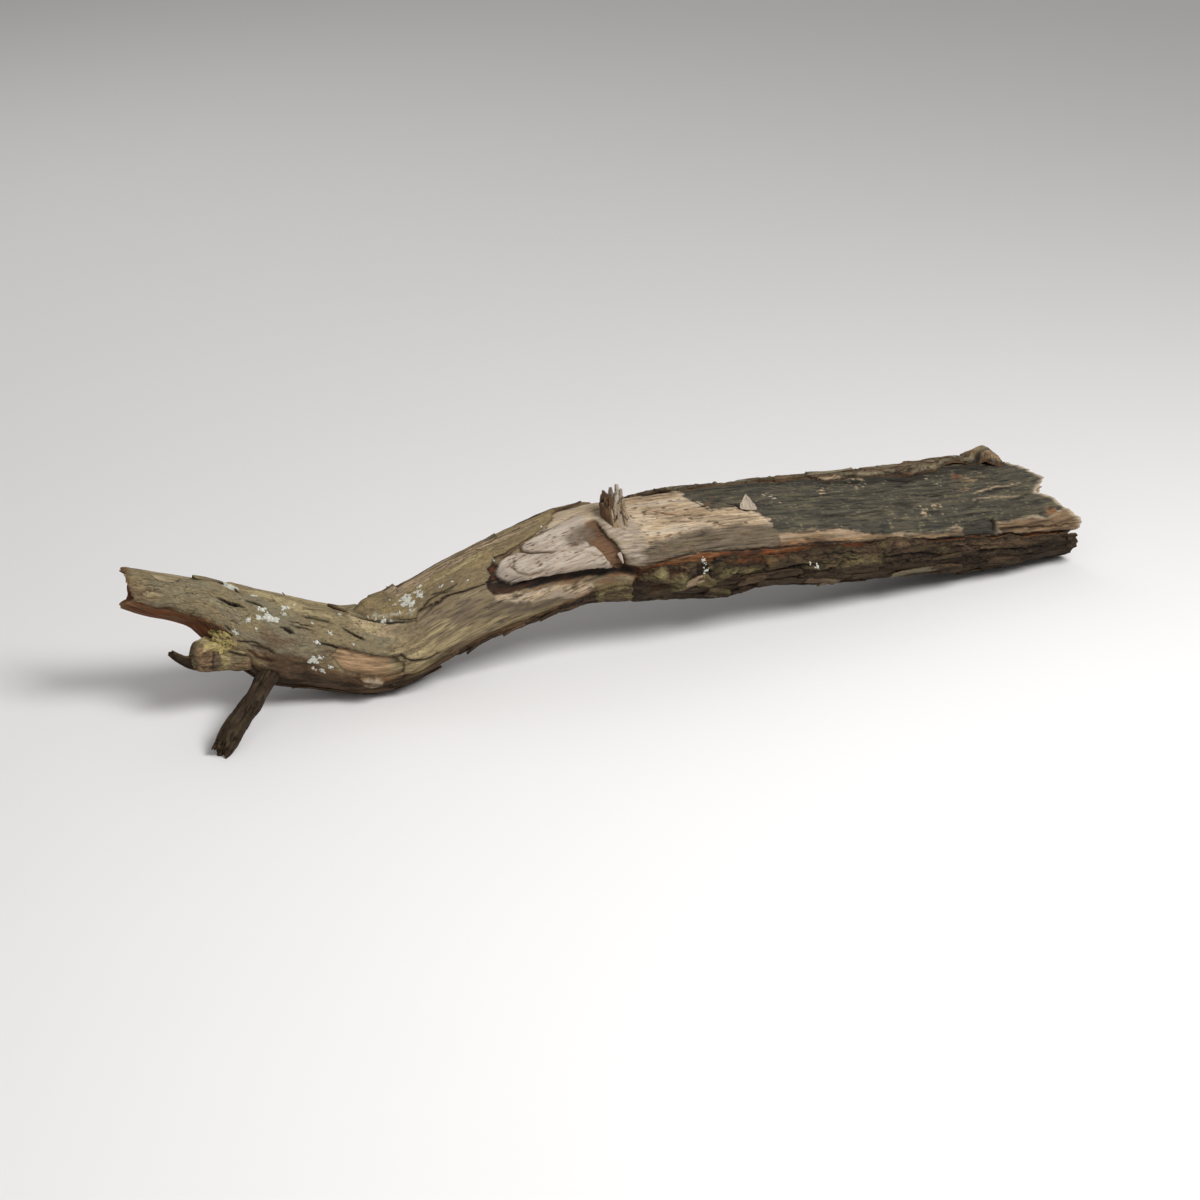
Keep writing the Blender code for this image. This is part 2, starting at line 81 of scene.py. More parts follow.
class Tone(Enum):
    """The colours of the trunk, as linear red, green and blue."""

    OLIVE_BARK = (0.196, 0.152, 0.084)
    OLIVE_LIGHT = (0.330, 0.265, 0.140)
    OLIVE_MOSSY = (0.150, 0.118, 0.052)
    BEND_OLIVE = (0.240, 0.178, 0.086)
    GREY_BARK = (0.174, 0.147, 0.094)
    BROWN_BARK = (0.100, 0.061, 0.034)
    # Dark brown bark of the underside, made darker still as painted shade.
    UNDER_BARK_AND_SHADE = (0.052, 0.034, 0.018)
    # Near black brown bark; its darkness is partly painted shade, for the underside and the side branch.
    DARK_BARK_AND_SHADE = (0.029, 0.0175, 0.009)
    INNER_BARK = (0.138, 0.073, 0.035)
    # Near black painted shadow, for cracks, gaps, hollows and the foot of raised bark edges.
    CRACK_SHADOW = (0.010, 0.006, 0.004)
    TAN_PATCH = (0.380, 0.245, 0.135)
    TAN_DARK = (0.280, 0.180, 0.098)
    PINK_WOOD = (0.370, 0.270, 0.170)
    BEIGE_STRIP = (0.350, 0.275, 0.160)
    PALE_WOOD = (0.405, 0.343, 0.280)
    PALE_SHADE = (0.330, 0.265, 0.205)
    # Painted shadow that the snapped stub casts on the wood to its left.
    STUB_SHADOW = (0.190, 0.146, 0.110)
    BLUE_GREY = (0.360, 0.310, 0.260)
    TAN_WOOD = (0.390, 0.287, 0.180)
    PALE_TAN = (0.450, 0.365, 0.265)
    TAN_SHADE = (0.220, 0.145, 0.078)
    TAN_STRIP = (0.310, 0.225, 0.145)
    GREY_WOOD = (0.290, 0.228, 0.158)
    GREY_OLIVE = (0.100, 0.077, 0.045)
    GREY_SHADE = (0.110, 0.082, 0.056)
    BEND_BROWN = (0.205, 0.158, 0.094)
    OLIVE_WOOD = (0.330, 0.260, 0.138)
    OLIVE_SHADE = (0.160, 0.120, 0.068)
    RED_ROT = (0.157, 0.050, 0.014)
    DARK_ROT = (0.042, 0.019, 0.008)
    RECESS_BROWN = (0.116, 0.062, 0.034)
    ORANGE_ROT = (0.235, 0.108, 0.042)
    SLATE = (0.044, 0.039, 0.029)
    SLATE_GREEN = (0.080, 0.070, 0.044)
    CHIPPED_WOOD = (0.360, 0.290, 0.210)
    SLATE_SPECK = (0.130, 0.112, 0.064)
    SLATE_DEEP = (0.030, 0.027, 0.021)
    # The side branch's bark, darkened as painted shade, as the branch lies under the trunk.
    BRANCH_BARK_AND_SHADE = (0.042, 0.027, 0.016)
    SLATE_FLAKE = (0.330, 0.273, 0.205)
    KNOB_OLIVE = (0.225, 0.190, 0.088)
    KNOB_GREY = (0.120, 0.088, 0.060)
    LICHEN = (0.600, 0.600, 0.530)
    LICHEN_RIM = (0.430, 0.410, 0.330)
    MOSS = (0.390, 0.310, 0.120)
    MOSS_DARK = (0.230, 0.180, 0.075)


class Side(Enum):
    """Which side of a line a bark plate stands up on, walking from its first place to its last."""

    LEFT = 1.0
    RIGHT = -1.0


def colour_of(tone: Tone) -> Array:
    """The tone as an array of three numbers."""
    return np.array(tone.value, float)


def spread(tone: Tone, *shape: int) -> Array:
    """The tone's colour at every place of a grid of this shape."""
    return colour_of(tone) + np.zeros((*shape, 3))


def eased(value: Array) -> Array:
    """The value held between 0 and 1, and eased in and out."""
    held = np.clip(value, 0.0, 1.0)
    return held * held * (3 - 2 * held)


def blended(first: Array, second: Array, share: Array) -> Array:
    """A share of the second colour laid over the first.

    Args:
        first: colours, one row for each point.
        second: colours, one row for each point, or one colour.
        share: from 0 to 1 for each point.

    Returns:
        The blended colours.
    """
    return first * (1 - share[..., None]) + second * share[..., None]


def turn_between(turn: Array, other: float) -> Array:
    """The signed step round the section from other to turn, the short way."""
    return (np.asarray(turn, float) - other + 180) % 360 - 180


def smooth_between(x: Array, knots: Array, values: Array) -> Array:
    """Values on a smooth cubic through knots.

    Args:
        x: where the values are wanted.
        knots: where they are known.
        values: the known values, with one column for each column that is wanted.

    Returns:
        The values at x.
    """
    knots = np.asarray(knots, float)
    values = np.asarray(values, float)
    slopes = np.gradient(values, knots, axis=0)
    i = np.clip(np.searchsorted(knots, x) - 1, 0, len(knots) - 2)
    width = knots[i + 1] - knots[i]
    t = np.clip((x - knots[i]) / width, 0, 1)
    shape = (...,) + (None,) * (values.ndim - 1)
    t, width = t[shape], width[shape]
    return (
        values[i] * (1 + 2 * t) * (1 - t) ** 2
        + values[i + 1] * t**2 * (3 - 2 * t)
        + slopes[i] * width * t * (1 - t) ** 2
        - slopes[i + 1] * width * t**2 * (1 - t)
    )


def lumps(points: Array, size: float, drawn: float = 1.0, shift: float = 0.0) -> Array:
    """Smooth noise from about -1 to 1.

    Args:
        points: where it is wanted, in millimetres.
        size: the size of a lump.
        drawn: how much shorter the first axis counts, so lumps are drawn out along it when it is below 1.
        shift: another number gives another pattern.

    Returns:
        One number for each point.
    """
    scaled = points.reshape(-1, 3) * np.array((drawn, 1.0, 1.0)) / size + shift
    found = np.array([noise.noise(p) for p in scaled.tolist()])
    return found.reshape(points.shape[:-1])


def layered(points: Array, size: float, drawn: float = 1.0, shift: float = 0.0, layers: int = 3) -> Array:
    """Noise in several sizes, each half as large and a little over half as strong as the one before.

    Args:
        points: where it is wanted, in millimetres.
        size: the size of the largest lump.
        drawn: how much shorter the first axis counts.
        shift: another number gives another pattern.
        layers: how many sizes.

    Returns:
        One number for each point.
    """
    total = np.zeros(points.shape[:-1])
    for n in range(layers):
        total += 0.55**n * lumps(points, size * 0.5**n, drawn, shift + 7.3 * n)
    return total


def polygon_depth(places: Places, x: Array, turn: Array, per_degree: Array) -> Array:
    """How deep each point of a flat list lies inside an outline, less than 0 outside, in millimetres."""
    nearest = np.full(x.shape, FAR_AWAY)
    within = np.zeros(x.shape, bool)
    for (x0, t0), (x1, t1) in zip(places, places[1:] + places[:1]):
        crosses = (t0 > turn) != (t1 > turn)
        rise = np.where(crosses, t1 - t0, 1.0)
        within ^= crosses & (x < x0 + (turn - t0) / rise * (x1 - x0))
        run, climb = x1 - x0, (t1 - t0) * per_degree
        across = (turn - t0) * per_degree
        share = np.clip(((x - x0) * run + across * climb) / (run**2 + climb**2 + TINY), 0, 1)
        nearest = np.minimum(nearest, np.hypot(x - x0 - share * run, across - share * climb))
    return np.where(within, nearest, -nearest)


@dataclass(frozen=True)
class TrunkForm:
    """The shape of the trunk's wood, from which every skin on it is made."""

    stations: Tuple[Tuple[float, ...], ...]
    shown: Tuple[float, float]
    swellings: Tuple[Blob, ...]
    hollows: Tuple[Tuple[float, float, Places], ...]
    fork_break: Places
    thick_break: Places
    fork_ring: float = -860.0
    thick_ring: float = 810.8
    break_blend: float = 110.0
    hollow_radius: float = 80.0
    unevenness: float = 2.2
    uneven_size: float = 55.0

    def sections(self, x: Array) -> Tuple[Array, Array, Array, Array, Array]:
        """The wood's section at x.

        Args:
            x: places along the trunk.

        Returns:
            The middle, the up and front directions, and the half height and half width.
        """
        stations = np.array(self.stations, float)
        here = smooth_between(x, stations[:, 0], stations[:, 1:])
        ahead = smooth_between(x + 1, stations[:, 0], stations[:, 1:])
        along = np.stack([np.ones_like(x), ahead[..., 0] - here[..., 0], ahead[..., 1] - here[..., 1]], -1)
        along /= np.linalg.norm(along, axis=-1, keepdims=True)
        front = np.cross(along, [0.0, 0.0, 1.0])
        front /= np.linalg.norm(front, axis=-1, keepdims=True)
        up = np.cross(front, along)
        middle = np.stack([x, here[..., 0], here[..., 1]], -1)
        return middle, up, front, here[..., 2], here[..., 3]

    def skin(self, x: Array, turn: Array) -> Array:
        """Points on the wood's surface at (x, turn)."""
        middle, up, front, half_height, half_width = self.sections(x)
        angle = np.radians(turn)
        radius = 1 / np.sqrt((np.cos(angle) / half_height) ** 2 + (np.sin(angle) / half_width) ** 2)
        outward = np.cos(angle)[..., None] * up + np.sin(angle)[..., None] * front
        radius = radius + blob_heights(x, turn, self.swellings)
        per_degree = np.full_like(x, math.radians(self.hollow_radius))
        for depth, reach, places in self.hollows:
            far = line_distance(places, x, turn, per_degree)[0]
            radius = radius - depth * np.exp(-((far / reach) ** 2))
        found = middle + radius[..., None] * outward
        radius = radius + self.unevenness * lumps(found, self.uneven_size, 0.4)
        return middle + radius[..., None] * outward

    def normals(self, x: Array, turn: Array) -> Array:
        """Outward unit normals of the wood's surface at (x, turn)."""
        step = 3
        along = self.skin(x + step, turn) - self.skin(x - step, turn)
        around = self.skin(x, turn + step) - self.skin(x, turn - step)
        normal = np.cross(around, along)
        return normal / np.linalg.norm(normal, axis=-1, keepdims=True)

    def broken(self, x: Array, turn: Array) -> Array:
        """Where ring x lies at this turn once the two ends are broken off ragged."""
        turn = turn_between(turn, 0)
        to_fork = np.clip((self.fork_ring + self.break_blend - x) / self.break_blend, 0, 1) ** 2
        to_thick = np.clip((x - self.thick_ring + self.break_blend) / self.break_blend, 0, 1) ** 2
        fork_knots, fork_reach = np.array(self.fork_break, float).T
        thick_knots, thick_reach = np.array(self.thick_break, float).T
        fork_shift = np.interp(turn, fork_knots, fork_reach) - self.fork_ring
        thick_shift = np.interp(turn, thick_knots, thick_reach) - self.thick_ring
        return x + to_fork * fork_shift + to_thick * thick_shift

    def turns(self, first: float, last: float, fine: float, coarse: float) -> Array:
        """Places round the section, closest together on the side that shows most.

        Args:
            first: the first place.
            last: where they stop.
            fine: their step on the side that shows most.
            coarse: their step elsewhere.

        Returns:
            The turns, in degrees.
        """
        places = [first]
        while places[-1] < last:
            here = float(turn_between(np.array(places[-1]), 0.0))
            places.append(places[-1] + (fine if self.shown[0] <= here < self.shown[1] else coarse))
        return np.array(places[:-1])

    def per_degree(self, x: float) -> float:
        """The millimetres of skin in a degree of turn at one place along the trunk."""
        half_height, half_width = self.sections(np.array(x))[3:]
        return math.radians(float(half_height + half_width) / 2)

    def chart(self, x: Array, turn: Array) -> "Chart":
        """The chart of these places on the trunk, along its grain."""
        _, _, _, half_height, half_width = self.sections(x)
        radius = (half_height + half_width) / 2
        angle = np.radians(turn)
        grain = np.stack([x, radius * np.sin(angle), radius * np.cos(angle)], -1)
        return Chart(x, turn_between(turn, 0), np.radians(radius), grain)


def blob_heights(x: Array, turn: Array, places: Iterable[Blob]) -> Array:
    """The sum of smooth round heights at places, each x, turn, height, reach along x and reach in turn."""
    height = np.zeros_like(x)
    for place_x, place_turn, size, reach_x, reach_turn in places:
        away = ((x - place_x) / reach_x) ** 2 + (turn_between(turn, place_turn) / reach_turn) ** 2
        height += size * np.exp(-away)
    return height


def line_distance(places: Places, x: Array, turn: Array, per_degree: Array) -> Tuple[Array, Array, Array]:
    """How far each point lies from a line along the skin.

    Args:
        places: the line's places.
        x: the points' x.
        turn: the points' turn.
        per_degree: millimetres of skin for a degree of turn, at each point.

    Returns:
        The distance, how far along the line the nearest place is, from 0 to 1, and the distance to its left,
        which is below 0 on its right.
    """
    nearest = np.full_like(x, FAR_AWAY)
    along, left = np.zeros_like(x), np.zeros_like(x)
    steps = [math.hypot(b[0] - a[0], 1.4 * (b[1] - a[1])) for a, b in zip(places, places[1:])]
    total, gone = sum(steps), 0.0
    for (x0, turn0), (x1, turn1), step in zip(places, places[1:], steps):
        run, climb = x1 - x0, (turn1 - turn0) * per_degree
        across = turn_between(turn, turn0) * per_degree
        share = np.clip(((x - x0) * run + across * climb) / (run**2 + climb**2 + TINY), 0, 1)
        far = np.hypot(x - x0 - share * run, across - share * climb)
        side = (run * across - climb * (x - x0)) / np.sqrt(run**2 + climb**2 + TINY)
        closer = far < nearest
        nearest = np.where(closer, far, nearest)
        along = np.where(closer, (gone + share * step) / total, along)
        left = np.where(closer, np.sign(side) * far, left)
        gone += step
    return nearest, along, left


@dataclass(frozen=True)
class Patch:
    """A named area of a skin, with its own colours and its own height."""

    places: Places
    tone: Tone
    other: Tone
    soft: float = 8.0
    ragged: float = 5.0
    rise: float = 0.0
    fibre: float = 0.6
    size: float = 9.0
    drawn: float = 0.12
    strength: float = 1.0


@dataclass(frozen=True)
class Groove:
    """A crack or fold along a line of places."""

    places: Places
    depth: float = 4.0
    half_width: float = 1.7
    # By default a groove is painted with the crack tone, as painted shade in it.
    tone: Tone = Tone.CRACK_SHADOW
    strength: float = 1.0
    ragged: float = 1.2
    jog: float = 2.4


@dataclass(frozen=True)
class Ledge:
    """The edge of a bark plate: the skin stands up on one side of a line, and slopes back down from it. A
    painted shadow runs along the line on the low side.
    """

    places: Places
    height: float = 3.0
    reach: float = 18.0
    side: Side = Side.LEFT
    ragged: float = 2.0
    shadow_width: float = 2.2
    shadow_strength: float = 0.8


@dataclass
class Chart:
    """Places on a skin: x and turn, the millimetres in a degree of turn, and points along the grain."""

    x: Array
    turn: Array
    per_degree: Array
    grain: Array
    wander_x: Array = field(init=False)
    wander_turn: Array = field(init=False)
    jog: Array = field(init=False)

    def __post_init__(self) -> None:
        """Works out the small wandering and the sudden jogs that make outlines and cracks ragged."""
        torn = 0.8 * lumps(self.grain, 5.5, 0.13, 17.0) + 0.4 * lumps(self.grain, 2.6, 0.2, 27.0)
        self.wander_x = 0.9 * layered(self.grain, 26, 0.8, 3.7) + torn
        self.wander_turn = 0.9 * layered(self.grain, 24, 0.6, 9.1) + 0.3 * lumps(self.grain, 3.2, 0.6, 23.0)
        block = np.floor(self.x / 10.5 + 1.3 * self.wander_turn)
        self.jog = np.sin(block * HASH_STEPS[0] + 4.1) * HASH_SCALE % 1.0 - 0.5

    def depth(self, places: Places, ragged: float) -> Array:
        """How deep each place lies inside an outline that wanders by this much, in millimetres."""
        margin = 40.0
        x = self.x + ragged * self.wander_x
        turn = self.turn + ragged * self.wander_turn / self.per_degree
        xs, turns = [p[0] for p in places], [p[1] for p in places]
        found = np.full(x.shape, -margin)
        for whole in (-360.0, 0.0, 360.0):
            here = turn + whole
            room = margin / self.per_degree
            near = (x > min(xs) - margin) & (x < max(xs) + margin)
            near &= (here > min(turns) - room) & (here < max(turns) + room)
            if near.any():
                depth = polygon_depth(places, x[near], here[near], self.per_degree[near])
                found[near] = np.maximum(found[near], depth)
        return found

    def near_line(self, places: Places, ragged: float, jog: float = 0.0) -> Tuple[Array, ...]:
        """The points near a line, as flat indices, with what line_distance says of them."""
        margin = 60
        xs, flat = [p[0] for p in places], self.x.ravel()
        near = np.flatnonzero((flat > min(xs) - margin) & (flat < max(xs) + margin))
        x = flat[near] + ragged * self.wander_x.ravel()[near]
        per = self.per_degree.ravel()[near]
        across = ragged * self.wander_turn.ravel()[near] + jog * self.jog.ravel()[near]
        return (near, *line_distance(places, x, self.turn.ravel()[near] + across / per, per))

    def cells(self, size: float, drawn: float, shift: float) -> Tuple[Array, Array]:
        """Uneven cells all over the skin, drawn out along the grain.

        Args:
            size: a cell's size across the grain.
            drawn: how much shorter the grain's direction counts.
            shift: another number gives another pattern.

        Returns:
            How far each place is from its cell's edge, as a share of the cell, and a number from 0 to 1 for
            its cell.
        """
        bent = np.stack([self.wander_x * 4, self.wander_turn, self.wander_x], -1) * 0.22 * size
        scaled = (self.grain + bent).reshape(-1, 3) * np.array((drawn, 1.0, 1.0)) / size + shift
        level, edge = np.zeros(len(scaled)), np.zeros(len(scaled))
        for n, point in enumerate(scaled.tolist()):
            distances, centres = noise.voronoi(point)
            centre = centres[0]
            mixed = centre[0] * HASH_STEPS[0] + centre[1] * HASH_STEPS[1] + centre[2] * HASH_STEPS[2]
            level[n] = math.sin(mixed) * HASH_SCALE % 1.0
            edge[n] = distances[1] - distances[0]
        return edge.reshape(self.x.shape), level.reshape(self.x.shape)


class Coat:
    """What covers a skin at each of its places: its colour, how fibrous it is, and how far it stands out."""

    def __init__(self, chart: Chart, tone: Tone, other: Tone, size: float, drawn: float) -> None:
        """Starts the coat as two tones mottled together.

        Args:
            chart: the skin's places.
            tone: its main tone.
            other: the tone that it is mottled with.
            size: the mottles' size.
            drawn: below 1 the mottles are drawn out along the grain.
        """
        self.chart = chart
        self.rise = np.zeros(chart.x.shape)
        self.fibre = np.full(chart.x.shape, 0.5)
        mottle = eased(0.5 + 0.9 * layered(chart.grain, size, drawn, 1.3))
        self.tint = blended(spread(tone, *chart.x.shape), colour_of(other), mottle)

    def lay(self, patch: Patch) -> None:
        """Lays a patch over what is there."""
        depth = self.chart.depth(patch.places, patch.ragged)
        share = eased(depth / patch.soft + 0.5)
        if not share.any():
            return
        mottle = np.zeros_like(share)
        inside = share > 0
        pattern = layered(self.chart.grain[inside], patch.size, patch.drawn, 5.9, 4)
        mottle[inside] = eased(0.5 + 1.1 * pattern)
        colour = blended(spread(patch.tone, *share.shape), colour_of(patch.other), mottle)
        self.tint = blended(self.tint, colour, share * patch.strength)
        self.fibre = self.fibre * (1 - share) + patch.fibre * share
        self.rise = self.rise + share * patch.rise

    def speckle(self, places: Places, tone: Tone, size: float, drawn: float, amount: float) -> None:
        """Strews small specks over an area.

        Args:
            places: the area's outline.
            tone: the specks' tone.
            size: a speck's size.
            drawn: below 1 they are drawn out along the grain.
            amount: how much of the area they cover, from 0 to 1.
        """
        share = eased(self.chart.depth(places, 5.0) / 6.0 + 0.5)
        inside = share > 0
        if not inside.any():
            return
        grain = self.chart.grain[inside]
        field_here = lumps(grain, size, drawn, 41.0) + 0.5 * lumps(grain, size * 5, 0.5, 43.0)
        share[inside] *= eased((field_here - (0.75 - amount)) * 6)
        self.tint = blended(self.tint, colour_of(tone), share)

    def stain(self, near: Array, tone: Tone, share: Array) -> None:
        """Blends a share of a tone into the colours at flat indices."""
        flat = self.tint.reshape(-1, 3)
        flat[near] = blended(flat[near], colour_of(tone), share)
        self.tint = flat.reshape(self.tint.shape)

    def darken(self, amount: Array) -> None:
        """Makes the colours darker by this share of them, or lighter where it is below 0."""
        self.tint = self.tint * (1 - amount)[..., None]

    def score(self, groove: Groove) -> None:
        """Cuts a groove, deepest at the middle of its line."""
        near, far, along, _ = self.chart.near_line(groove.places, groove.ragged, groove.jog)
        taper = np.sqrt(np.clip(np.minimum(along, 1 - along) * 5 + 0.12, 0, 1))
        cut = np.exp(-((far / (groove.half_width * taper)) ** 2)) * taper
        self.rise.ravel()[near] -= groove.depth * cut
        self.stain(near, groove.tone, groove.strength * cut)

    def step(self, ledge: Ledge) -> None:
        """Raises one side of a line, so that it stands as the edge of a plate, and paints a shadow along the
        line on its low side.
        """
        near, _, along, left = self.chart.near_line(ledge.places, ledge.ragged)
        side = left * ledge.side.value
        taper = np.clip(np.minimum(along, 1 - along) * 5 + 0.05, 0, 1)
        raised = np.where(side > -0.6, np.exp(-np.maximum(side, 0) / ledge.reach), 0.0) * taper
        self.rise.ravel()[near] += ledge.height * raised
        shadow = np.where(side <= 0, np.exp(-((side / ledge.shadow_width) ** 2)), 0.0) * taper
        self.stain(near, Tone.CRACK_SHADOW, ledge.shadow_strength * shadow)

    def fissures(
        self, size: float, drawn: float, depth: float, width: float, amount: float, shift: float
    ) -> None:
        """Opens natural cracks all over, drawn out along the grain.

        Args:
            size: the distance between cracks.
            drawn: below 1 they run along the grain.
            depth: how deep they are.
            width: their width, as a share of their distance.
            amount: how much of the skin has them, from 0 to 1.
            shift: another number gives another pattern.
        """
        edge, _ = self.chart.cells(size, drawn, shift)
        where = eased((layered(self.chart.grain, size * 2.2, 0.4, shift + 3) + amount) * 3.0)
        cut = np.exp(-((edge / width) ** 2)) * where
        self.rise -= depth * cut
        # The cracks are painted near black: painted shade in them.
        self.tint = blended(self.tint, colour_of(Tone.CRACK_SHADOW), 0.85 * cut)

    def plates(self, size: float, drawn: float, height: float, shade: float) -> None:
        """Breaks the skin into plates that lie at different heights.

        Args:
            size: a plate's size.
            drawn: below 1 plates are drawn out along the grain.
            height: the most that their heights differ.
            shade: how much their colours differ.
        """
        edge, level = self.chart.cells(size, drawn, 0.0)
        gap = np.exp(-((edge / 0.07) ** 2))
        self.rise += height * (level - 0.5) - 0.35 * height * gap
        self.darken(-shade * (level - 0.5))
        # The gaps between plates are painted dark: painted shadow in them.
        self.tint = blended(self.tint, colour_of(Tone.CRACK_SHADOW), 0.6 * gap)


@dataclass
class Shape:
    """A mesh in the making, in the tables' millimetres, with its colour, fibre and grain at each point."""

    points: Array
    faces: List[Tuple[int, ...]]
    tint: Array
    fibre: Array
    grain: Array

    @staticmethod
    def joined(shapes: Sequence["Shape"]) -> "Shape":
        """Several shapes as one."""
        faces: List[Tuple[int, ...]] = []
        count = 0
        for shape in shapes:
            faces += [tuple(v + count for v in face) for face in shape.faces]
            count += len(shape.points)
        return Shape(
            np.concatenate([s.points for s in shapes]),
            faces,
            np.concatenate([s.tint for s in shapes]),
            np.concatenate([s.fibre for s in shapes]),
            np.concatenate([s.grain for s in shapes]),
        )

    def settle(self) -> None:
        """Keeps every point at or above the ground."""
        self.points[:, 2] = np.maximum(self.points[:, 2], ORIGIN[2])

    def build(self, name: str, finish: bpy.types.Material) -> bpy.types.Object:
        """Makes the object.

        Args:
            name: the piece's name.
            finish: its material.

        Returns:
            The new object, linked to the scene.
        """
        self.settle()
        mesh = bpy.data.meshes.new(name)
        mesh.from_pydata(((self.points - ORIGIN) * MM).tolist(), [], self.faces)
        mesh.polygons.foreach_set("use_smooth", np.ones(len(mesh.polygons), bool))
        mesh.set_sharp_from_angle(angle=math.radians(SHARP_ANGLE))
        rgba = np.ones((len(self.points), 4), np.float32)
        rgba[:, :3] = np.clip(self.tint, 0, 1)
        mesh.attributes.new("tint", "FLOAT_COLOR", "POINT").data.foreach_set("color", rgba.ravel())
        fibre = mesh.attributes.new("fibre", "FLOAT", "POINT")
        fibre.data.foreach_set("value", self.fibre.astype(np.float32))
        grain = mesh.attributes.new("grain", "FLOAT_VECTOR", "POINT")
        grain.data.foreach_set("vector", (self.grain * GRAIN_SCALE).astype(np.float32).ravel())
        mesh.materials.append(finish)
        piece = bpy.data.objects.new(name, mesh)
        bpy.context.scene.collection.objects.link(piece)
        return piece

    def tree(self) -> BVHTree:
        """A tree of the shape's faces, to find where a line meets it."""
        return BVHTree.FromPolygons(self.points.tolist(), self.faces)


def grid_faces(rows: int, columns: int, closed: bool, first: int = 0) -> List[Tuple[int, ...]]:
    """The quads of a grid of points.

    Args:
        rows: how many rows it has.
        columns: how many points a row has.
        closed: whether each row closes on itself.
        first: the number of its first point.

    Returns:
        The quads, facing outward where a row runs round with the turn and rows run along x.
    """
    i, j = np.meshgrid(np.arange(rows - 1), np.arange(columns if closed else columns - 1), indexing="ij")
    i, j = i.ravel(), j.ravel()
    k = (j + 1) % columns
    here, ahead = i * columns, (i + 1) * columns
    quads = np.stack([here + j, here + k, ahead + k, ahead + j], -1) + first
    return [tuple(q) for q in quads.tolist()]


def tube_faces(rows: int, columns: int) -> List[Tuple[int, ...]]:
    """The faces of a tube with closed ends.

    Args:
        rows: how many rings it has.
        columns: how many points a ring has.

    Returns:
        The rings' quads, then the fans at both ends, round the two points that follow those of the rings.
    """
    faces = grid_faces(rows, columns, True)
    first, last, last_row = rows * columns, rows * columns + 1, (rows - 1) * columns
    for j in range(columns):
        k = (j + 1) % columns
        faces.append((first, k, j))
        faces.append((last, last_row + j, last_row + k))
    return faces


class Wire:
    """A shader socket that can stand in an expression. Each operator on it adds a Math node."""

    def __init__(self, graph: "Graph", socket: bpy.types.NodeSocket) -> None:
        """Wraps an output socket of the graph."""
        self.graph = graph
        self.socket = socket

    def math(self, operation: str, *values: Union["Wire", float]) -> "Wire":
        """The result of a Math node on these values."""
        return self.graph.wire("ShaderNodeMath", {"operation": operation}, dict(enumerate(values)))

    def __add__(self, other: Union["Wire", float]) -> "Wire":
        """The sum."""
        return self.math("ADD", self, other)

    def __radd__(self, other: float) -> "Wire":
        """The sum, with the number first."""
        return self.math("ADD", other, self)

    def __sub__(self, other: Union["Wire", float]) -> "Wire":
        """The difference."""
        return self.math("SUBTRACT", self, other)

    def __rsub__(self, other: float) -> "Wire":
        """The difference, with the number first."""
        return self.math("SUBTRACT", other, self)

    def __mul__(self, other: Union["Wire", float]) -> "Wire":
        """The product."""
        return self.math("MULTIPLY", self, other)

    def held(self) -> "Wire":
        """The value held between 0 and 1."""
        return self.math("MINIMUM", self.math("MAXIMUM", self, 0.0), 1.0)

    def size(self) -> "Wire":
        """The value without its sign."""
        return self.math("ABSOLUTE", self)


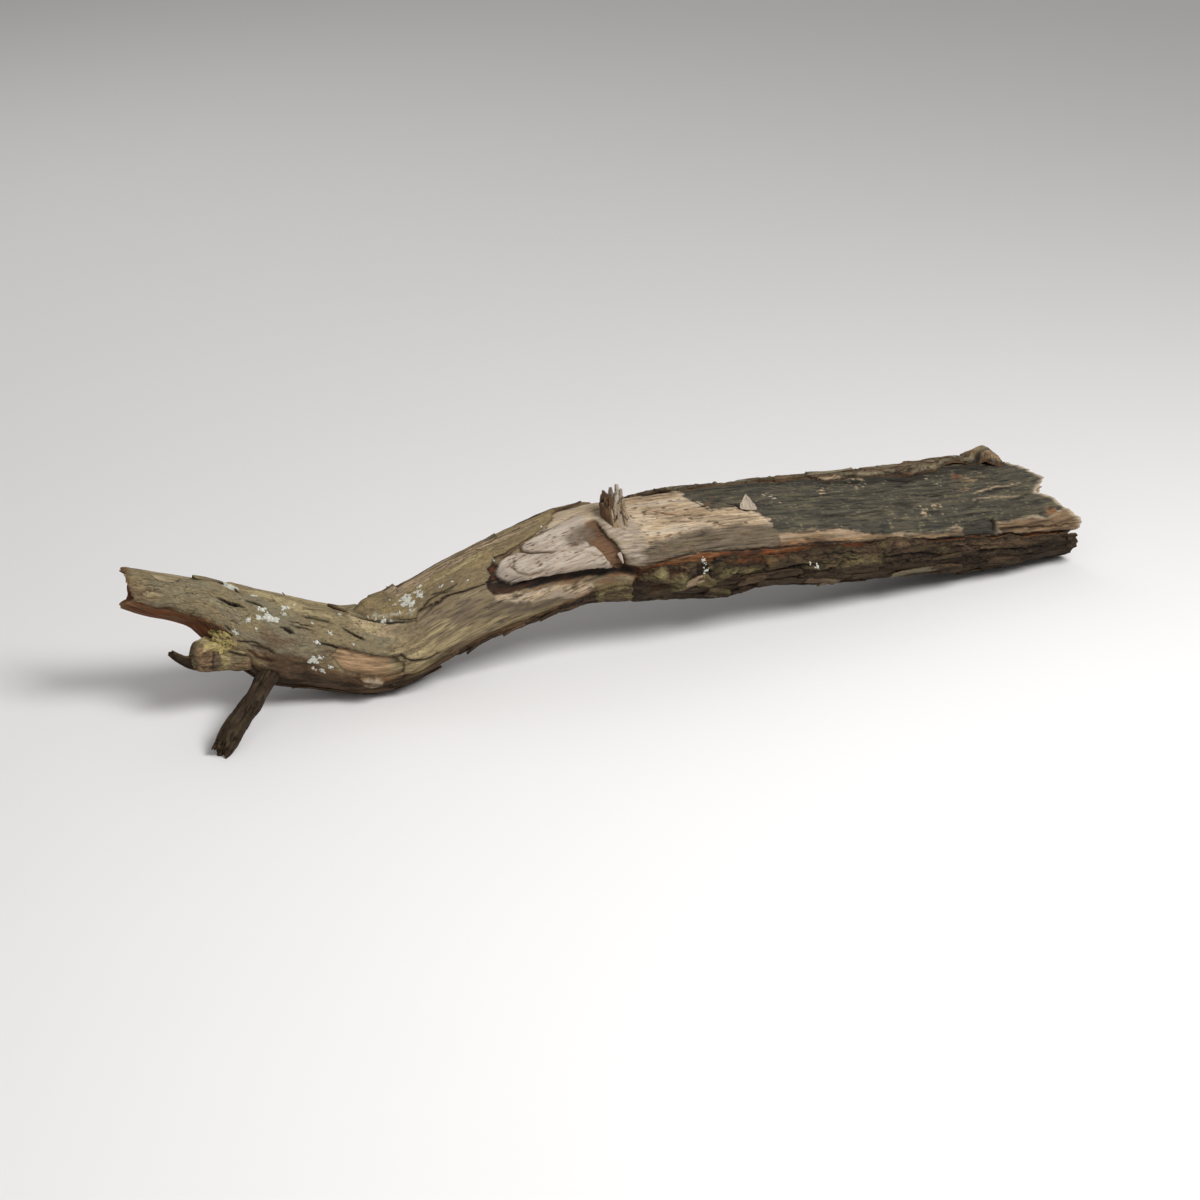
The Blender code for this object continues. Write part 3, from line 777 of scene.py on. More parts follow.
class Graph:
    """The nodes of one material."""

    def __init__(self, name: str) -> None:
        """Starts a material that has only its shader and its output."""
        self.material = bpy.data.materials.new(name)
        self.material.use_nodes = True
        self.tree = self.material.node_tree
        self.shader = self.tree.nodes["Principled BSDF"]

    def feed(self, socket: bpy.types.NodeSocket, value: Union[Wire, float, Colour]) -> None:
        """Gives a socket a value or a link."""
        if isinstance(value, Wire):
            self.tree.links.new(value.socket, socket)
        elif isinstance(value, (tuple, list)) and socket.type == "RGBA":
            socket.default_value = (*value[:3], 1.0)
        else:
            socket.default_value = value

    def wire(
        self, kind: str, settings: Dict[str, object], inputs: Dict[object, object], output: object = 0
    ) -> Wire:
        """Adds a node.

        Args:
            kind: the node's type.
            settings: its settings, which are set first.
            inputs: the value or wire for each socket, by name or number.
            output: the output that is wanted, by name or number.

        Returns:
            The node's output.
        """
        made = self.tree.nodes.new(kind)
        for name, value in settings.items():
            setattr(made, name, value)
        for name, value in inputs.items():
            self.feed(made.inputs[name], value)
        return Wire(self, made.outputs[output])

    def attribute(self, name: str, output: str) -> Wire:
        """A value that the mesh carries at its points."""
        return self.wire("ShaderNodeAttribute", {"attribute_name": name}, {}, output)

    def carried(self) -> Tuple[Wire, Wire, Wire]:
        """The tint, the fibre and the grain that the mesh carries."""
        outputs = {"tint": "Color", "fibre": "Fac", "grain": "Vector"}
        tint, fibre, grain = (self.attribute(name, output) for name, output in outputs.items())
        return tint, fibre, grain

    def vector(self, operation: str, first: Wire, **others: object) -> Wire:
        """The result of a vector node; the inputs after the first are named by their sockets, or second."""
        inputs = {(1 if name == "second" else name): value for name, value in others.items()}
        return self.wire("ShaderNodeVectorMath", {"operation": operation}, {0: first, **inputs})

    def stretched(self, grain: Wire, drawn: float) -> Wire:
        """The grain drawn out along its first axis, for drawn below 1."""
        return self.vector("MULTIPLY", grain, second=(drawn, 1, 1))

    def streaks(self, grain: Wire, drawn: float, scale: float, detail: float, rough: float) -> Wire:
        """Noise from 0 to 1 that is drawn out along the grain."""
        return self.noise(self.stretched(grain, drawn), scale, detail, rough)

    def noise(self, vector: Wire, scale: float, detail: float, rough: float = 0.55) -> Wire:
        """Noise from 0 to 1."""
        sockets = {"Vector": vector, "Scale": scale, "Detail": detail, "Roughness": rough}
        return self.wire("ShaderNodeTexNoise", {"noise_dimensions": "3D"}, sockets, "Fac")

    def swirl(self, vector: Wire, scale: float, amount: float) -> Wire:
        """A small push in all directions, to bend a pattern with."""
        sockets = {"Vector": vector, "Scale": scale}
        push = self.wire("ShaderNodeTexNoise", {"noise_dimensions": "3D"}, sockets, "Color")
        return self.vector("SCALE", self.vector("SUBTRACT", push, second=(0.5, 0.5, 0.5)), Scale=amount)

    def scaled(self, colour: Wire, factor: Wire) -> Wire:
        """A colour made darker or lighter by a factor."""
        return self.vector("SCALE", colour, Scale=factor)

    def mixed(self, factor: Wire, first: Union[Wire, Colour], second: Colour) -> Wire:
        """A mix of two colours."""
        settings = {"data_type": "RGBA", "blend_type": "MIX"}
        return self.wire("ShaderNodeMix", settings, {0: factor, 6: first, 7: second}, 2)

    def bump(self, height: Wire, distance: float) -> Wire:
        """A bump from a height."""
        return self.wire("ShaderNodeBump", {}, {"Strength": 1.0, "Distance": distance, "Height": height})

    def finished(self, **sockets: object) -> bpy.types.Material:
        """Feeds the shader's sockets, named with _ for a space, and returns the material."""
        for name, value in sockets.items():
            self.feed(self.shader.inputs[name.replace("_", " ")], value)
        return self.material


@dataclass(frozen=True)
class FibreFinish:
    """Weathered bare wood: fine fibres along the grain, pits and dust, over the mesh's own colour."""

    name: str = "weathered_wood"
    contrast: float = 0.9
    fibre_size: float = 4.5
    fleck_size: float = 9.0
    relief: float = 0.0016

    def material(self) -> bpy.types.Material:
        """The node-based material."""
        graph = Graph(self.name)
        tint, fibre, grain = graph.carried()
        strands = graph.streaks(grain, 0.07, self.fibre_size, 4.0, 0.62)
        threads = graph.streaks(grain, 0.10, self.fibre_size * 3.2, 2.0, 0.5)
        flecks = graph.streaks(grain, 0.5, self.fleck_size, 3.0, 0.6)
        clouds = graph.streaks(grain, 0.35, 0.8, 3.0, 0.6)
        lines = graph.streaks(grain, 0.035, 2.4, 2.0, 0.5)
        check = (1.0 - (lines - 0.5).size() * 60.0).held() * ((clouds - 0.47) * 8.0).held()
        pits = ((flecks - 0.62) * 9.0).held()
        streaks = (strands - 0.5) * 1.5 + (threads - 0.5) * 1.3
        worth = streaks * self.contrast * (fibre * 0.8 + 0.2)
        light = 1.0 + worth + (clouds - 0.5) * 0.5 - pits * 0.35 - check * 0.6
        worn = graph.scaled(tint, light.math("MAXIMUM", light, DARKEST))
        height = strands * (0.35 + fibre) + threads * 0.5 * fibre + flecks * 0.25 - pits * 0.4 - check * 0.8
        return graph.finished(
            Base_Color=worn,
            Roughness=(0.95 - strands * 0.25).held(),
            Normal=graph.bump(height, self.relief),
            Specular_IOR_Level=0.25,
        )


@dataclass(frozen=True)
class CrustFinish:
    """Old bark: a crumbly crust with fine cracks, dusted with algae, over the mesh's own colour."""

    name: str = "old_bark"
    crumb: float = 5.0
    relief: float = 0.0024
    algae: Colour = (0.250, 0.205, 0.085)
    algae_share: float = 0.3

    def material(self) -> bpy.types.Material:
        """The node-based material."""
        graph = Graph(self.name)
        tint, fibre, grain = graph.carried()
        crumbs = graph.streaks(grain, 0.45, self.crumb, 5.0, 0.66)
        strands = graph.streaks(grain, 0.10, 3.4, 4.0, 0.6)
        clouds = graph.streaks(grain, 0.5, 0.55, 4.0, 0.62)
        bent = graph.vector("ADD", grain, second=graph.swirl(grain, 1.6, 0.5))
        edges = {"Vector": graph.stretched(bent, 0.22), "Scale": 1.15}
        edge = graph.wire("ShaderNodeTexVoronoi", {"feature": "DISTANCE_TO_EDGE"}, edges, "Distance")
        crack = (1.0 - edge * 22.0).held() * ((strands - 0.46) * 7.0).held() * fibre
        light = 1.0 + (crumbs - 0.5) * 1.5 + (strands - 0.5) * 1.1 * fibre - crack * 0.75
        worn = graph.scaled(tint, light.math("MAXIMUM", light, DARKEST))
        dusted = graph.mixed(((clouds - 0.52) * 4.0).held() * self.algae_share * fibre, worn, self.algae)
        height = crumbs * 0.9 + strands * 0.5 * fibre - crack * 1.2
        return graph.finished(
            Base_Color=dusted,
            Roughness=(0.98 - crumbs * 0.15).held(),
            Normal=graph.bump(height, self.relief),
            Specular_IOR_Level=0.2,
        )


@dataclass(frozen=True)
class GrowthFinish:
    """Lichen or moss: a fine lobed crumb over the mesh's own colour."""

    name: str
    crumb: float = 14.0
    relief: float = 0.0012

    def material(self) -> bpy.types.Material:
        """The node-based material."""
        graph = Graph(self.name)
        tint = graph.attribute("tint", "Color")
        grain = graph.attribute("grain", "Vector")
        cells = {"Vector": grain, "Scale": self.crumb}
        lobes = graph.wire("ShaderNodeTexVoronoi", {"feature": "F1"}, cells)
        crumbs = graph.noise(grain, self.crumb * 0.8, 3.0, 0.6)
        light = 1.12 - lobes * 0.35 + (crumbs - 0.5) * 0.5
        return graph.finished(
            Base_Color=graph.scaled(tint, light),
            Roughness=(0.98 - crumbs * 0.1).held(),
            Normal=graph.bump(crumbs - lobes * 0.5, self.relief),
            Specular_IOR_Level=0.15,
        )


@dataclass
class TrunkWood:
    """The trunk's own wood, from the hollow broken fork to the splintered thick end."""

    form: TrunkForm
    patches: Tuple[Patch, ...]
    grooves: Tuple[Groove, ...]
    ledges: Tuple[Ledge, ...]
    specks: Tuple[Tuple[Places, Tone, float, float, float], ...] = ()
    shown_step: float = 1.4
    hidden_step: float = 8.0
    ring_step: float = 2.3
    covered_to: float = -540.0
    covered_step: float = 6.0
    fork_depth: float = 34.0
    rim_width: float = 9.0
    # Each ring of the fork's hollow: its share of the rim's size, and its share of the depth.
    fork_steps: Tuple[Place, ...] = (
        (0.10, 1.0), (0.30, 0.97), (0.48, 0.88), (0.62, 0.66), (0.72, 0.42), (0.80, 0.2), (0.88, 0.05),
    )
    # Each ring of the thick end's face: its share of the rim's size.
    thick_steps: Tuple[float, ...] = (
        0.985, 0.96, 0.93, 0.89, 0.85, 0.8, 0.75, 0.7, 0.64,
        0.58, 0.52, 0.46, 0.4, 0.34, 0.28, 0.22, 0.15, 0.08,
    )
    # Each set of fine drying cracks: their distance, their width as a share of it, and their pattern.
    checks: Tuple[Tuple[float, float, float], ...] = ((7, 0.055, 31.0), (4, 0.07, 51.0), (12, 0.035, 71.0))
    check_depth: float = 1.3

    def rings(self) -> Array:
        """The places of the grid's rows, before the ends are broken off."""
        covered = np.arange(self.form.fork_ring, self.covered_to, self.covered_step)
        return np.concatenate([covered, np.arange(self.covered_to, self.form.thick_ring, self.ring_step)])

    def coat(self, chart: Chart) -> Coat:
        """The wood's colours and relief."""
        coat = Coat(chart, Tone.GREY_WOOD, Tone.OLIVE_SHADE, 16, 0.12)
        coat.rise += 0.8 * layered(chart.grain, 16, 0.10, 2.0) + 0.4 * lumps(chart.grain, 4.5, 0.07, 4.0)
        for patch in self.patches:
            coat.lay(patch)
        for places, tone, size, drawn, amount in self.specks:
            coat.speckle(places, tone, size, drawn, amount)
        for ledge in self.ledges:
            coat.step(ledge)
        for groove in self.grooves:
            coat.score(groove)
        for size, width, seed in self.checks:
            line = np.abs(lumps(chart.grain, size, 0.04, seed))
            here = eased(lumps(chart.grain, 26, 0.3, seed + 8) * 3.5)
            check = np.exp(-((line / width) ** 2)) * here * coat.fibre
            coat.rise -= self.check_depth * check
            coat.darken(0.62 * check)
        coat.darken(-0.45 * coat.fibre * lumps(chart.grain, 2.7, 0.09, 61.0))
        return coat

    def fork_cap(self, ring: Array) -> List[Tuple[Array, Array]]:
        """Rings from the fork's rim into its rotten hollow.

        Args:
            ring: the points of the rim.

        Returns:
            Each ring's points and colours, from the deepest to the rim.
        """
        middle = ring.mean(axis=0)
        rings = []
        for share, sink in self.fork_steps:
            inset = middle + share * (ring - middle)
            inset[:, 0] += self.fork_depth * sink + 5.0 * layered(inset, 7, 0.2, 8.0) * (1.2 - share)
            # The hollow is painted darker towards its bottom: red rot near the rim, painted shade deeper in.
            deep = np.full(len(ring), sink)
            rings.append((inset, blended(spread(Tone.RED_ROT, len(ring)), colour_of(Tone.DARK_ROT), deep)))
        return rings

    def thick_cap(self, ring: Array) -> List[Tuple[Array, Array]]:
        """Rings of torn fibres across the thick end.

        Args:
            ring: the points of the rim.

        Returns:
            Each ring's points and colours, from the rim to the middle.
        """
        middle = ring.mean(axis=0)
        rings = []
        for share in self.thick_steps:
            inset = middle + share * (ring - middle)
            flat = inset * np.array((0.0, 1.0, 1.0))
            cells = np.array([noise.cell((0.0, y / 6.5, z / 6.5)) for _, y, z in flat.tolist()])
            coarse = lumps(flat, 34, 1.0, 5.0)
            inset[:, 0] += 26 * coarse * (1 - share) + (8 + 14 * (1 - share)) * (cells - 0.45) - 7
            tone = eased(0.5 + lumps(flat, 22, 1.0, 9.0) * 1.4)
            tint = blended(spread(Tone.TAN_WOOD, len(ring)), colour_of(Tone.TAN_SHADE), tone)
            rings.append((inset, tint * (0.55 + 0.6 * cells)[:, None]))
        return rings

    def shape(self) -> Shape:
        """The wood's mesh."""
        turns = self.form.turns(self.form.shown[0], 328.0, self.shown_step, self.hidden_step)
        rings = self.rings()
        x, turn = np.meshgrid(rings, turns, indexing="ij")
        x = self.form.broken(x, turn)
        from_fork, from_thick = x - x.min(axis=0), x - x.max(axis=0)
        fork_rim = np.exp(-((from_fork / self.rim_width) ** 2))
        thick_rim = np.exp(-((from_thick / self.rim_width) ** 2))
        chart = self.form.chart(x, turn)
        loop = np.stack([x * 0, turn * 1.4, turn * 0], -1)
        jag = 6 * lumps(loop, 9, 1.0, 4.4) + 5 * lumps(loop, 3.5, 1.0, 8.4)
        coat = self.coat(chart)
        coat.tint = blended(coat.tint, colour_of(Tone.TAN_SHADE), 0.5 * np.exp(-((from_fork / 4.0) ** 2)))
        torn = np.exp(-((from_thick / (7.0 + 5.0 * chart.wander_x)) ** 2))
        coat.tint = blended(coat.tint, colour_of(Tone.PALE_TAN), 0.85 * torn)
        skin = self.form.skin(x, turn) + self.form.normals(x, turn) * coat.rise[..., None]
        skin[..., 0] += (thick_rim + 0.3 * fork_rim) * jag
        fork, thick = self.fork_cap(skin[0]), self.thick_cap(skin[-1])
        points = [p for p, _ in fork] + [skin.reshape(-1, 3)] + [p for p, _ in thick]
        tints = [t for _, t in fork] + [coat.tint.reshape(-1, 3)] + [t for _, t in thick]
        points += [fork[0][0].mean(axis=0)[None], thick[-1][0].mean(axis=0)[None]]
        tints += [fork[0][1][:1], thick[-1][1][:1]]
        faces = tube_faces(len(fork) + len(rings) + len(thick), len(turns))
        grain = [p for p, _ in fork] + [chart.grain.reshape(-1, 3)]
        grain += [p for p, _ in thick] + points[-2:]
        fibre = [np.full(len(p), 0.8) for p, _ in fork] + [coat.fibre.ravel()]
        fibre += [np.full(len(p), 1.0) for p, _ in thick] + [np.ones(1), np.ones(1)]
        arrays = [np.concatenate(parts) for parts in (tints, fibre, grain)]
        return Shape(np.concatenate(points), faces, *arrays)


@dataclass
class BarkSheet:
    """A loosened sheet of bark with a real thickness, ragged at its edge."""

    name: str
    node: str
    form: TrunkForm
    thickness: float
    outline: Places
    holes: Tuple[Places, ...] = ()
    tone: Tone = Tone.OLIVE_BARK
    other: Tone = Tone.GREY_BARK
    lifts: Tuple[Blob, ...] = ()
    thinned: Tuple[Blob, ...] = ()
    patches: Tuple[Patch, ...] = ()
    grooves: Tuple[Groove, ...] = ()
    ledges: Tuple[Ledge, ...] = ()
    plate_height: float = 0.0
    plate_size: float = 16.0
    plate_drawn: float = 0.42
    cracked: float = -0.05
    fibre: float = 0.8
    fissure_depth: float = 1.6
    ragged: float = 5.0
    edge_share: float = 0.6
    step: float = 1.75
    floor: float = -0.3
    lip: float = 26.0
    clear_of: Tuple[Route, ...] = ()
    overlap: float = 6.0
    clearance: float = 0.9
    thinnest: float = 1.0

    def depth(self, chart: Chart) -> Array:
        """How deep each place lies inside the sheet, in millimetres."""
        depth = chart.depth(self.outline, self.ragged)
        for hole in self.holes:
            depth = np.minimum(depth, -chart.depth(hole, self.ragged * 0.5))
        return depth

    def coat(self, chart: Chart) -> Coat:
        """The bark's colours and relief."""
        coat = Coat(chart, self.tone, self.other, 26, 0.3)
        coat.fibre[:] = self.fibre
        coat.rise += 1.5 * layered(chart.grain, 24, 0.4, 6.0) + 0.5 * lumps(chart.grain, 6, 0.4, 2.5)
        for patch in self.patches:
            coat.lay(patch)
        if self.plate_height:
            coat.plates(self.plate_size, self.plate_drawn, self.plate_height, 0.4)
        coat.fissures(12, 0.2, self.fissure_depth, 0.07, self.cracked, 4.0)
        coat.fissures(5.5, 0.25, self.fissure_depth * 0.5, 0.10, self.cracked - 0.05, 14.0)
        coat.darken(-0.35 * lumps(chart.grain, 2.7, 0.35, 61.0))
        for ledge in self.ledges:
            coat.step(ledge)
        for groove in self.grooves:
            coat.score(groove)
        return coat

    @staticmethod
    def largest(cells: Array) -> Array:
        """The largest group of cells that share sides."""
        left = cells.copy()
        best, best_size = np.zeros_like(cells), 0
        while left.any():
            start = tuple(np.argwhere(left)[0])
            group, edge = [], [start]
            left[start] = False
            while edge:
                i, j = edge.pop()
                group.append((i, j))
                for near in ((i + 1, j), (i - 1, j), (i, j + 1), (i, j - 1)):
                    inside = 0 <= near[0] < cells.shape[0] and 0 <= near[1] < cells.shape[1]
                    if inside and left[near]:
                        left[near] = False
                        edge.append(near)
            if len(group) > best_size:
                best_size = len(group)
                best = np.zeros_like(cells)
                best[tuple(np.array(group).T)] = True
        return best

    @staticmethod
    def without_corner_touches(cells: Array) -> Array:
        """The cells, with one added wherever two would meet at a corner only."""
        cells = cells.copy()
        changed = True
        while changed:
            here, right = cells[:-1, :-1], cells[:-1, 1:]
            ahead, both = cells[1:, :-1], cells[1:, 1:]
            falling = here & both & ~ahead & ~right
            rising = ahead & right & ~here & ~both
            changed = bool(falling.any() or rising.any())
            cells[1:, :-1] |= falling
            cells[:-1, :-1] |= rising
        return cells

    def grid(self) -> Tuple[Array, Array, Array, Array]:
        """A grid that is cut to the sheet's outline.

        Returns:
            Each point's x, its turn, how deep inside the sheet it lies, and the corners of each cell.
        """
        xs, around = [p[0] for p in self.outline], [p[1] for p in self.outline]
        margin_x, margin_turn = 14, 10
        rows = np.arange(min(xs) - margin_x, max(xs) + margin_x, self.step)
        columns = self.form.turns(min(around) - margin_turn, max(around) + margin_turn, self.step / 1.4, 5.0)
        x, turn = np.meshgrid(rows, columns, indexing="ij")
        chart = self.form.chart(x, turn)
        depth = self.depth(chart)
        for route in self.clear_of:
            depth = np.minimum(depth, limb_clearance(self.form.skin(x, turn), route) + self.overlap)
        middle = (depth[1:, 1:] + depth[1:, :-1] + depth[:-1, 1:] + depth[:-1, :-1]) / 4
        cells = self.without_corner_touches(self.largest(middle > 0))
        used = np.zeros(x.shape, int)
        for a in (0, 1):
            for b in (0, 1):
                used[a : a + cells.shape[0], b : b + cells.shape[1]] += cells
        slope_x, slope_turn = np.gradient(depth, rows, columns)
        per = chart.per_degree
        slope_turn = slope_turn / per
        steep = slope_x**2 + slope_turn**2 + 0.05
        rim = (used > 0) & (used < 4)
        # A point on the rim moves to the true edge, but by less than half the way to the next one.
        room_x, room_turn = 0.45 * self.step, 0.45 * np.gradient(columns)[None, :] * per
        moved_x = np.where(rim, np.clip(-depth * slope_x / steep, -room_x, room_x), 0)
        moved_turn = np.where(rim, np.clip(-depth * slope_turn / steep, -room_turn, room_turn), 0)
        keep = used > 0
        number = np.full(x.shape, -1)
        number[keep] = np.arange(keep.sum())
        inward = np.maximum(np.where(rim, 0.0, depth)[keep], 0)
        i, j = np.nonzero(cells)
        quads = np.stack([number[i, j], number[i, j + 1], number[i + 1, j + 1], number[i + 1, j]], -1)
        return (x + moved_x)[keep], (turn + moved_turn / per)[keep], inward, quads

    def shape(self) -> Shape:
        """The sheet's mesh: an outer face, an inner face, and the broken edge between them."""
        x, turn, inward, quads = self.grid()
        chart = self.form.chart(x, turn)
        coat = self.coat(chart)
        normal, skin = self.form.normals(x, turn), self.form.skin(x, turn)
        lift = blob_heights(x, turn, self.lifts)
        thin = 1 - np.clip(blob_heights(x, turn, self.thinned), 0, 0.86)
        edge_part = self.edge_share + (1 - self.edge_share) * eased(inward / 7.0)
        relief = coat.rise * (0.35 + 0.65 * thin * eased(inward / 5.0))
        body = np.maximum(self.thickness * thin * edge_part + relief, self.thinnest)
        outer = skin + normal * (self.clearance + lift + body)[:, None]
        # The outer face is painted darker within a few millimetres of the sheet's edge: painted shade along
        # the broken edge.
        coat.darken(0.45 * np.exp(-((inward / 1.5) ** 2)) * thin)
        lip = inward < self.lip
        beneath = np.full(len(x), -1)
        beneath[lip] = len(x) + np.arange(lip.sum())
        inner = (skin + normal * (self.floor + lift + 1.2 * (1 - np.exp(-lift / 2)))[:, None])[lip]
        faces = [tuple(q) for q in quads.tolist()]
        faces += [tuple(reversed(q)) for q in beneath[quads[lip[quads].all(axis=1)]].tolist()]
        sides = {(q[n], q[(n + 1) % 4]) for q in quads.tolist() for n in range(4)}
        for a, b in sorted(sides):
            if (b, a) not in sides:
                faces.append((b, a, int(beneath[a]), int(beneath[b])))
        shade = 0.8 + 0.5 * lumps(chart.grain[lip], 8, 0.3, 3.0)
        inside = spread(Tone.INNER_BARK, len(inner)) * shade[:, None]
        return Shape(
            np.concatenate([outer, inner]),
            faces,
            np.concatenate([coat.tint, inside]),
            np.concatenate([coat.fibre, np.full(len(inner), 0.3)]),
            np.concatenate([chart.grain, chart.grain[lip] + 3.0]),
        )


def limb_clearance(points: Array, route: Route) -> Array:
    """How far each point lies from a limb's skin, in millimetres."""
    path = np.array(route, float)
    clear = np.full(points.shape[:-1], FAR_AWAY)
    for a, b in zip(path, path[1:]):
        step = b[:3] - a[:3]
        share = np.clip((points - a[:3]) @ step / (step @ step), 0, 1)
        away = np.linalg.norm(points - a[:3] - share[..., None] * step, axis=-1)
        clear = np.minimum(clear, away - a[3] - share * (b[3] - a[3]))
    return clear


@dataclass
class Limb:
    """A limb along a route of x, y, z and half thickness, with a torn tip."""

    route: Route
    tone: Tone
    other: Tone
    sides: int = 72
    step: float = 2.6
    ridge: float = 1.4
    lump: float = 1.2
    flat: float = 1.0
    tear: float = 10.0
    blocky: float = 0.0
    tip_tone: Tone = Tone.TAN_SHADE
    patches: Tuple[Patch, ...] = ()
    grooves: Tuple[Groove, ...] = ()
    fibre: float = 0.7
    seed: float = 0.0
    # Each ring of the torn tip: its share of the last ring's size.
    tip_steps: Tuple[float, ...] = (0.86, 0.66, 0.44, 0.2)

    def path(self) -> Tuple[Array, Array, Array, Array, Array]:
        """The route at even steps.

        Returns:
            The middle points, two directions across, the half thickness, and the length so far.
        """
        route = np.array(self.route, float)
        knots = np.concatenate([[0.0], np.cumsum(np.linalg.norm(np.diff(route[:, :3], axis=0), axis=1))])
        at = np.linspace(0, knots[-1], max(4, int(knots[-1] / self.step)))
        found = smooth_between(at, knots, route)
        along = np.gradient(found[:, :3], axis=0)
        along /= np.linalg.norm(along, axis=1, keepdims=True)
        side = np.cross(along, [0.31, 0.95, 0.05])
        side /= np.linalg.norm(side, axis=1, keepdims=True)
        return found[:, :3], side, np.cross(along, side), found[:, 3], at

    def coat(self, chart: Chart) -> Coat:
        """The limb's colours and relief."""
        grain = chart.grain
        coat = Coat(chart, self.tone, self.other, 14, 0.25)
        coat.fibre[:] = self.fibre
        coat.rise += self.lump * layered(grain, 20, 0.5, 1.0) + self.ridge * lumps(grain, 7, 0.16, 3.0)
        coat.fissures(8, 0.16, 1.5 * self.ridge, 0.10, 0.2, 6.0)
        for patch in self.patches:
            coat.lay(patch)
        for groove in self.grooves:
            coat.score(groove)
        return coat

    def torn(self, ring: Array) -> Array:
        """How far each place of the last ring is torn along the limb, in millimetres."""
        coarse = lumps(ring * np.array((0.0, 1.0, 1.0)), 7, 1.0, 2.0)
        blocks = np.array([noise.cell((0.0, b / 7, c / 7)) for _, b, c in ring.tolist()])
        return self.tear * (coarse + 0.5 * lumps(ring, 3, 1.0, 5.0)) + self.blocky * (blocks - 0.5)

    def tip(self, ring: Array, ahead: Array) -> Tuple[List[Array], List[Array]]:
        """Rings that close the torn tip.

        Args:
            ring: the points of the last ring.
            ahead: the limb's direction there.

        Returns:
            Each ring's points, and each ring's colours.
        """
        middle = ring.mean(axis=0)
        rows, tints = [], []
        for share in self.tip_steps:
            inset = middle + share * (ring - middle)
            drop = self.tear * 0.6 * lumps(inset + self.seed, 5, 1.0, 11.0) - 0.12 * self.tear
            rows.append(inset + drop[:, None] * ahead)
            shade = 0.75 + 0.6 * lumps(inset, 4, 1.0, 6.0)
            tints.append(spread(self.tip_tone, self.sides) * shade[:, None])
        return rows, tints

    def shape(self) -> Shape:
        """The limb's mesh. On its chart, x is the length so far and turn runs round it."""
        middle, side, other, half, at = self.path()
        turns = np.arange(self.sides) * 360 / self.sides
        length, turn = np.meshgrid(at, turns, indexing="ij")
        angle = np.radians(turn)
        thick = half[:, None]
        grain = np.stack([length + self.seed * 91, thick * np.sin(angle), thick * np.cos(angle)], -1)
        chart = Chart(length, turn_between(turn, 0), np.radians(thick) + np.zeros_like(turn), grain)
        coat = self.coat(chart)
        radius = thick + coat.rise * np.clip(thick / 12, 0.25, 1)
        across = np.cos(angle)[..., None] * side[:, None]
        across = across + self.flat * np.sin(angle)[..., None] * other[:, None]
        points = middle[:, None] + radius[..., None] * across
        ahead = middle[-1] - middle[-2]
        ahead /= np.linalg.norm(ahead)
        near_tip = np.exp(-((at[-1] - at) / (1.2 * self.tear + 1)))
        points += (near_tip[:, None] * self.torn(grain[-1])[None, :])[..., None] * ahead
        tip_rows, tip_tints = self.tip(points[-1], ahead)
        faces = tube_faces(len(at) + len(self.tip_steps), self.sides)
        root = middle[0] - 0.3 * half[0] * (middle[1] - middle[0]) / self.step
        ends = np.stack([root, tip_rows[-1].mean(axis=0)])
        every = np.concatenate([points.reshape(-1, 3), *tip_rows, ends])
        grains = np.concatenate([grain.reshape(-1, 3), *tip_rows, ends])
        tint = np.concatenate([coat.tint.reshape(-1, 3), *tip_tints, spread(self.tip_tone, 2)])
        fibre = np.full(len(every), self.fibre)
        fibre[: coat.fibre.size] = coat.fibre.ravel()
        if np.cross(side[0], other[0]) @ ahead < 0:
            faces = [tuple(reversed(face)) for face in faces]
        return Shape(every, faces, tint, fibre, grains)


@dataclass
class Splinters:
    """Torn splinters of wood, each from its sunk root to its tip."""

    tone: Tone = Tone.TAN_WOOD
    other: Tone = Tone.GREY_SHADE
    blunt: float = 0.0
    shapes: List[Shape] = field(default_factory=list)

    def add(self, root: Sequence[float], tip: Sequence[float], half: float, flat: float, seed: int) -> None:
        """Adds one.

        Args:
            root: where it starts.
            tip: where it ends.
            half: half its thickness at the root.
            flat: its width the other way, as a share.
            seed: another number gives another splinter.
        """
        draw = random.Random(seed)
        root_at, tip_at = np.array(root, float), np.array(tip, float)
        bend = np.array([draw.uniform(-1, 1) for _ in range(3)]) * 0.05 * np.linalg.norm(tip_at - root_at)
        route = []
        for share, size in (*SPLINTER_TAPER, (1, draw.uniform(0.12, 0.3))):
            place = root_at + (tip_at - root_at) * share + bend * math.sin(share * math.pi)
            route.append((*place, half * (size + self.blunt * (1 - size))))
        limb = Limb(
            tuple(route), self.tone, self.other, sides=14, step=3.0, ridge=0.9, lump=0.8, flat=flat,
            tear=1.5, tip_tone=self.tone, fibre=1.0, seed=seed,
        )
        self.shapes.append(limb.shape())


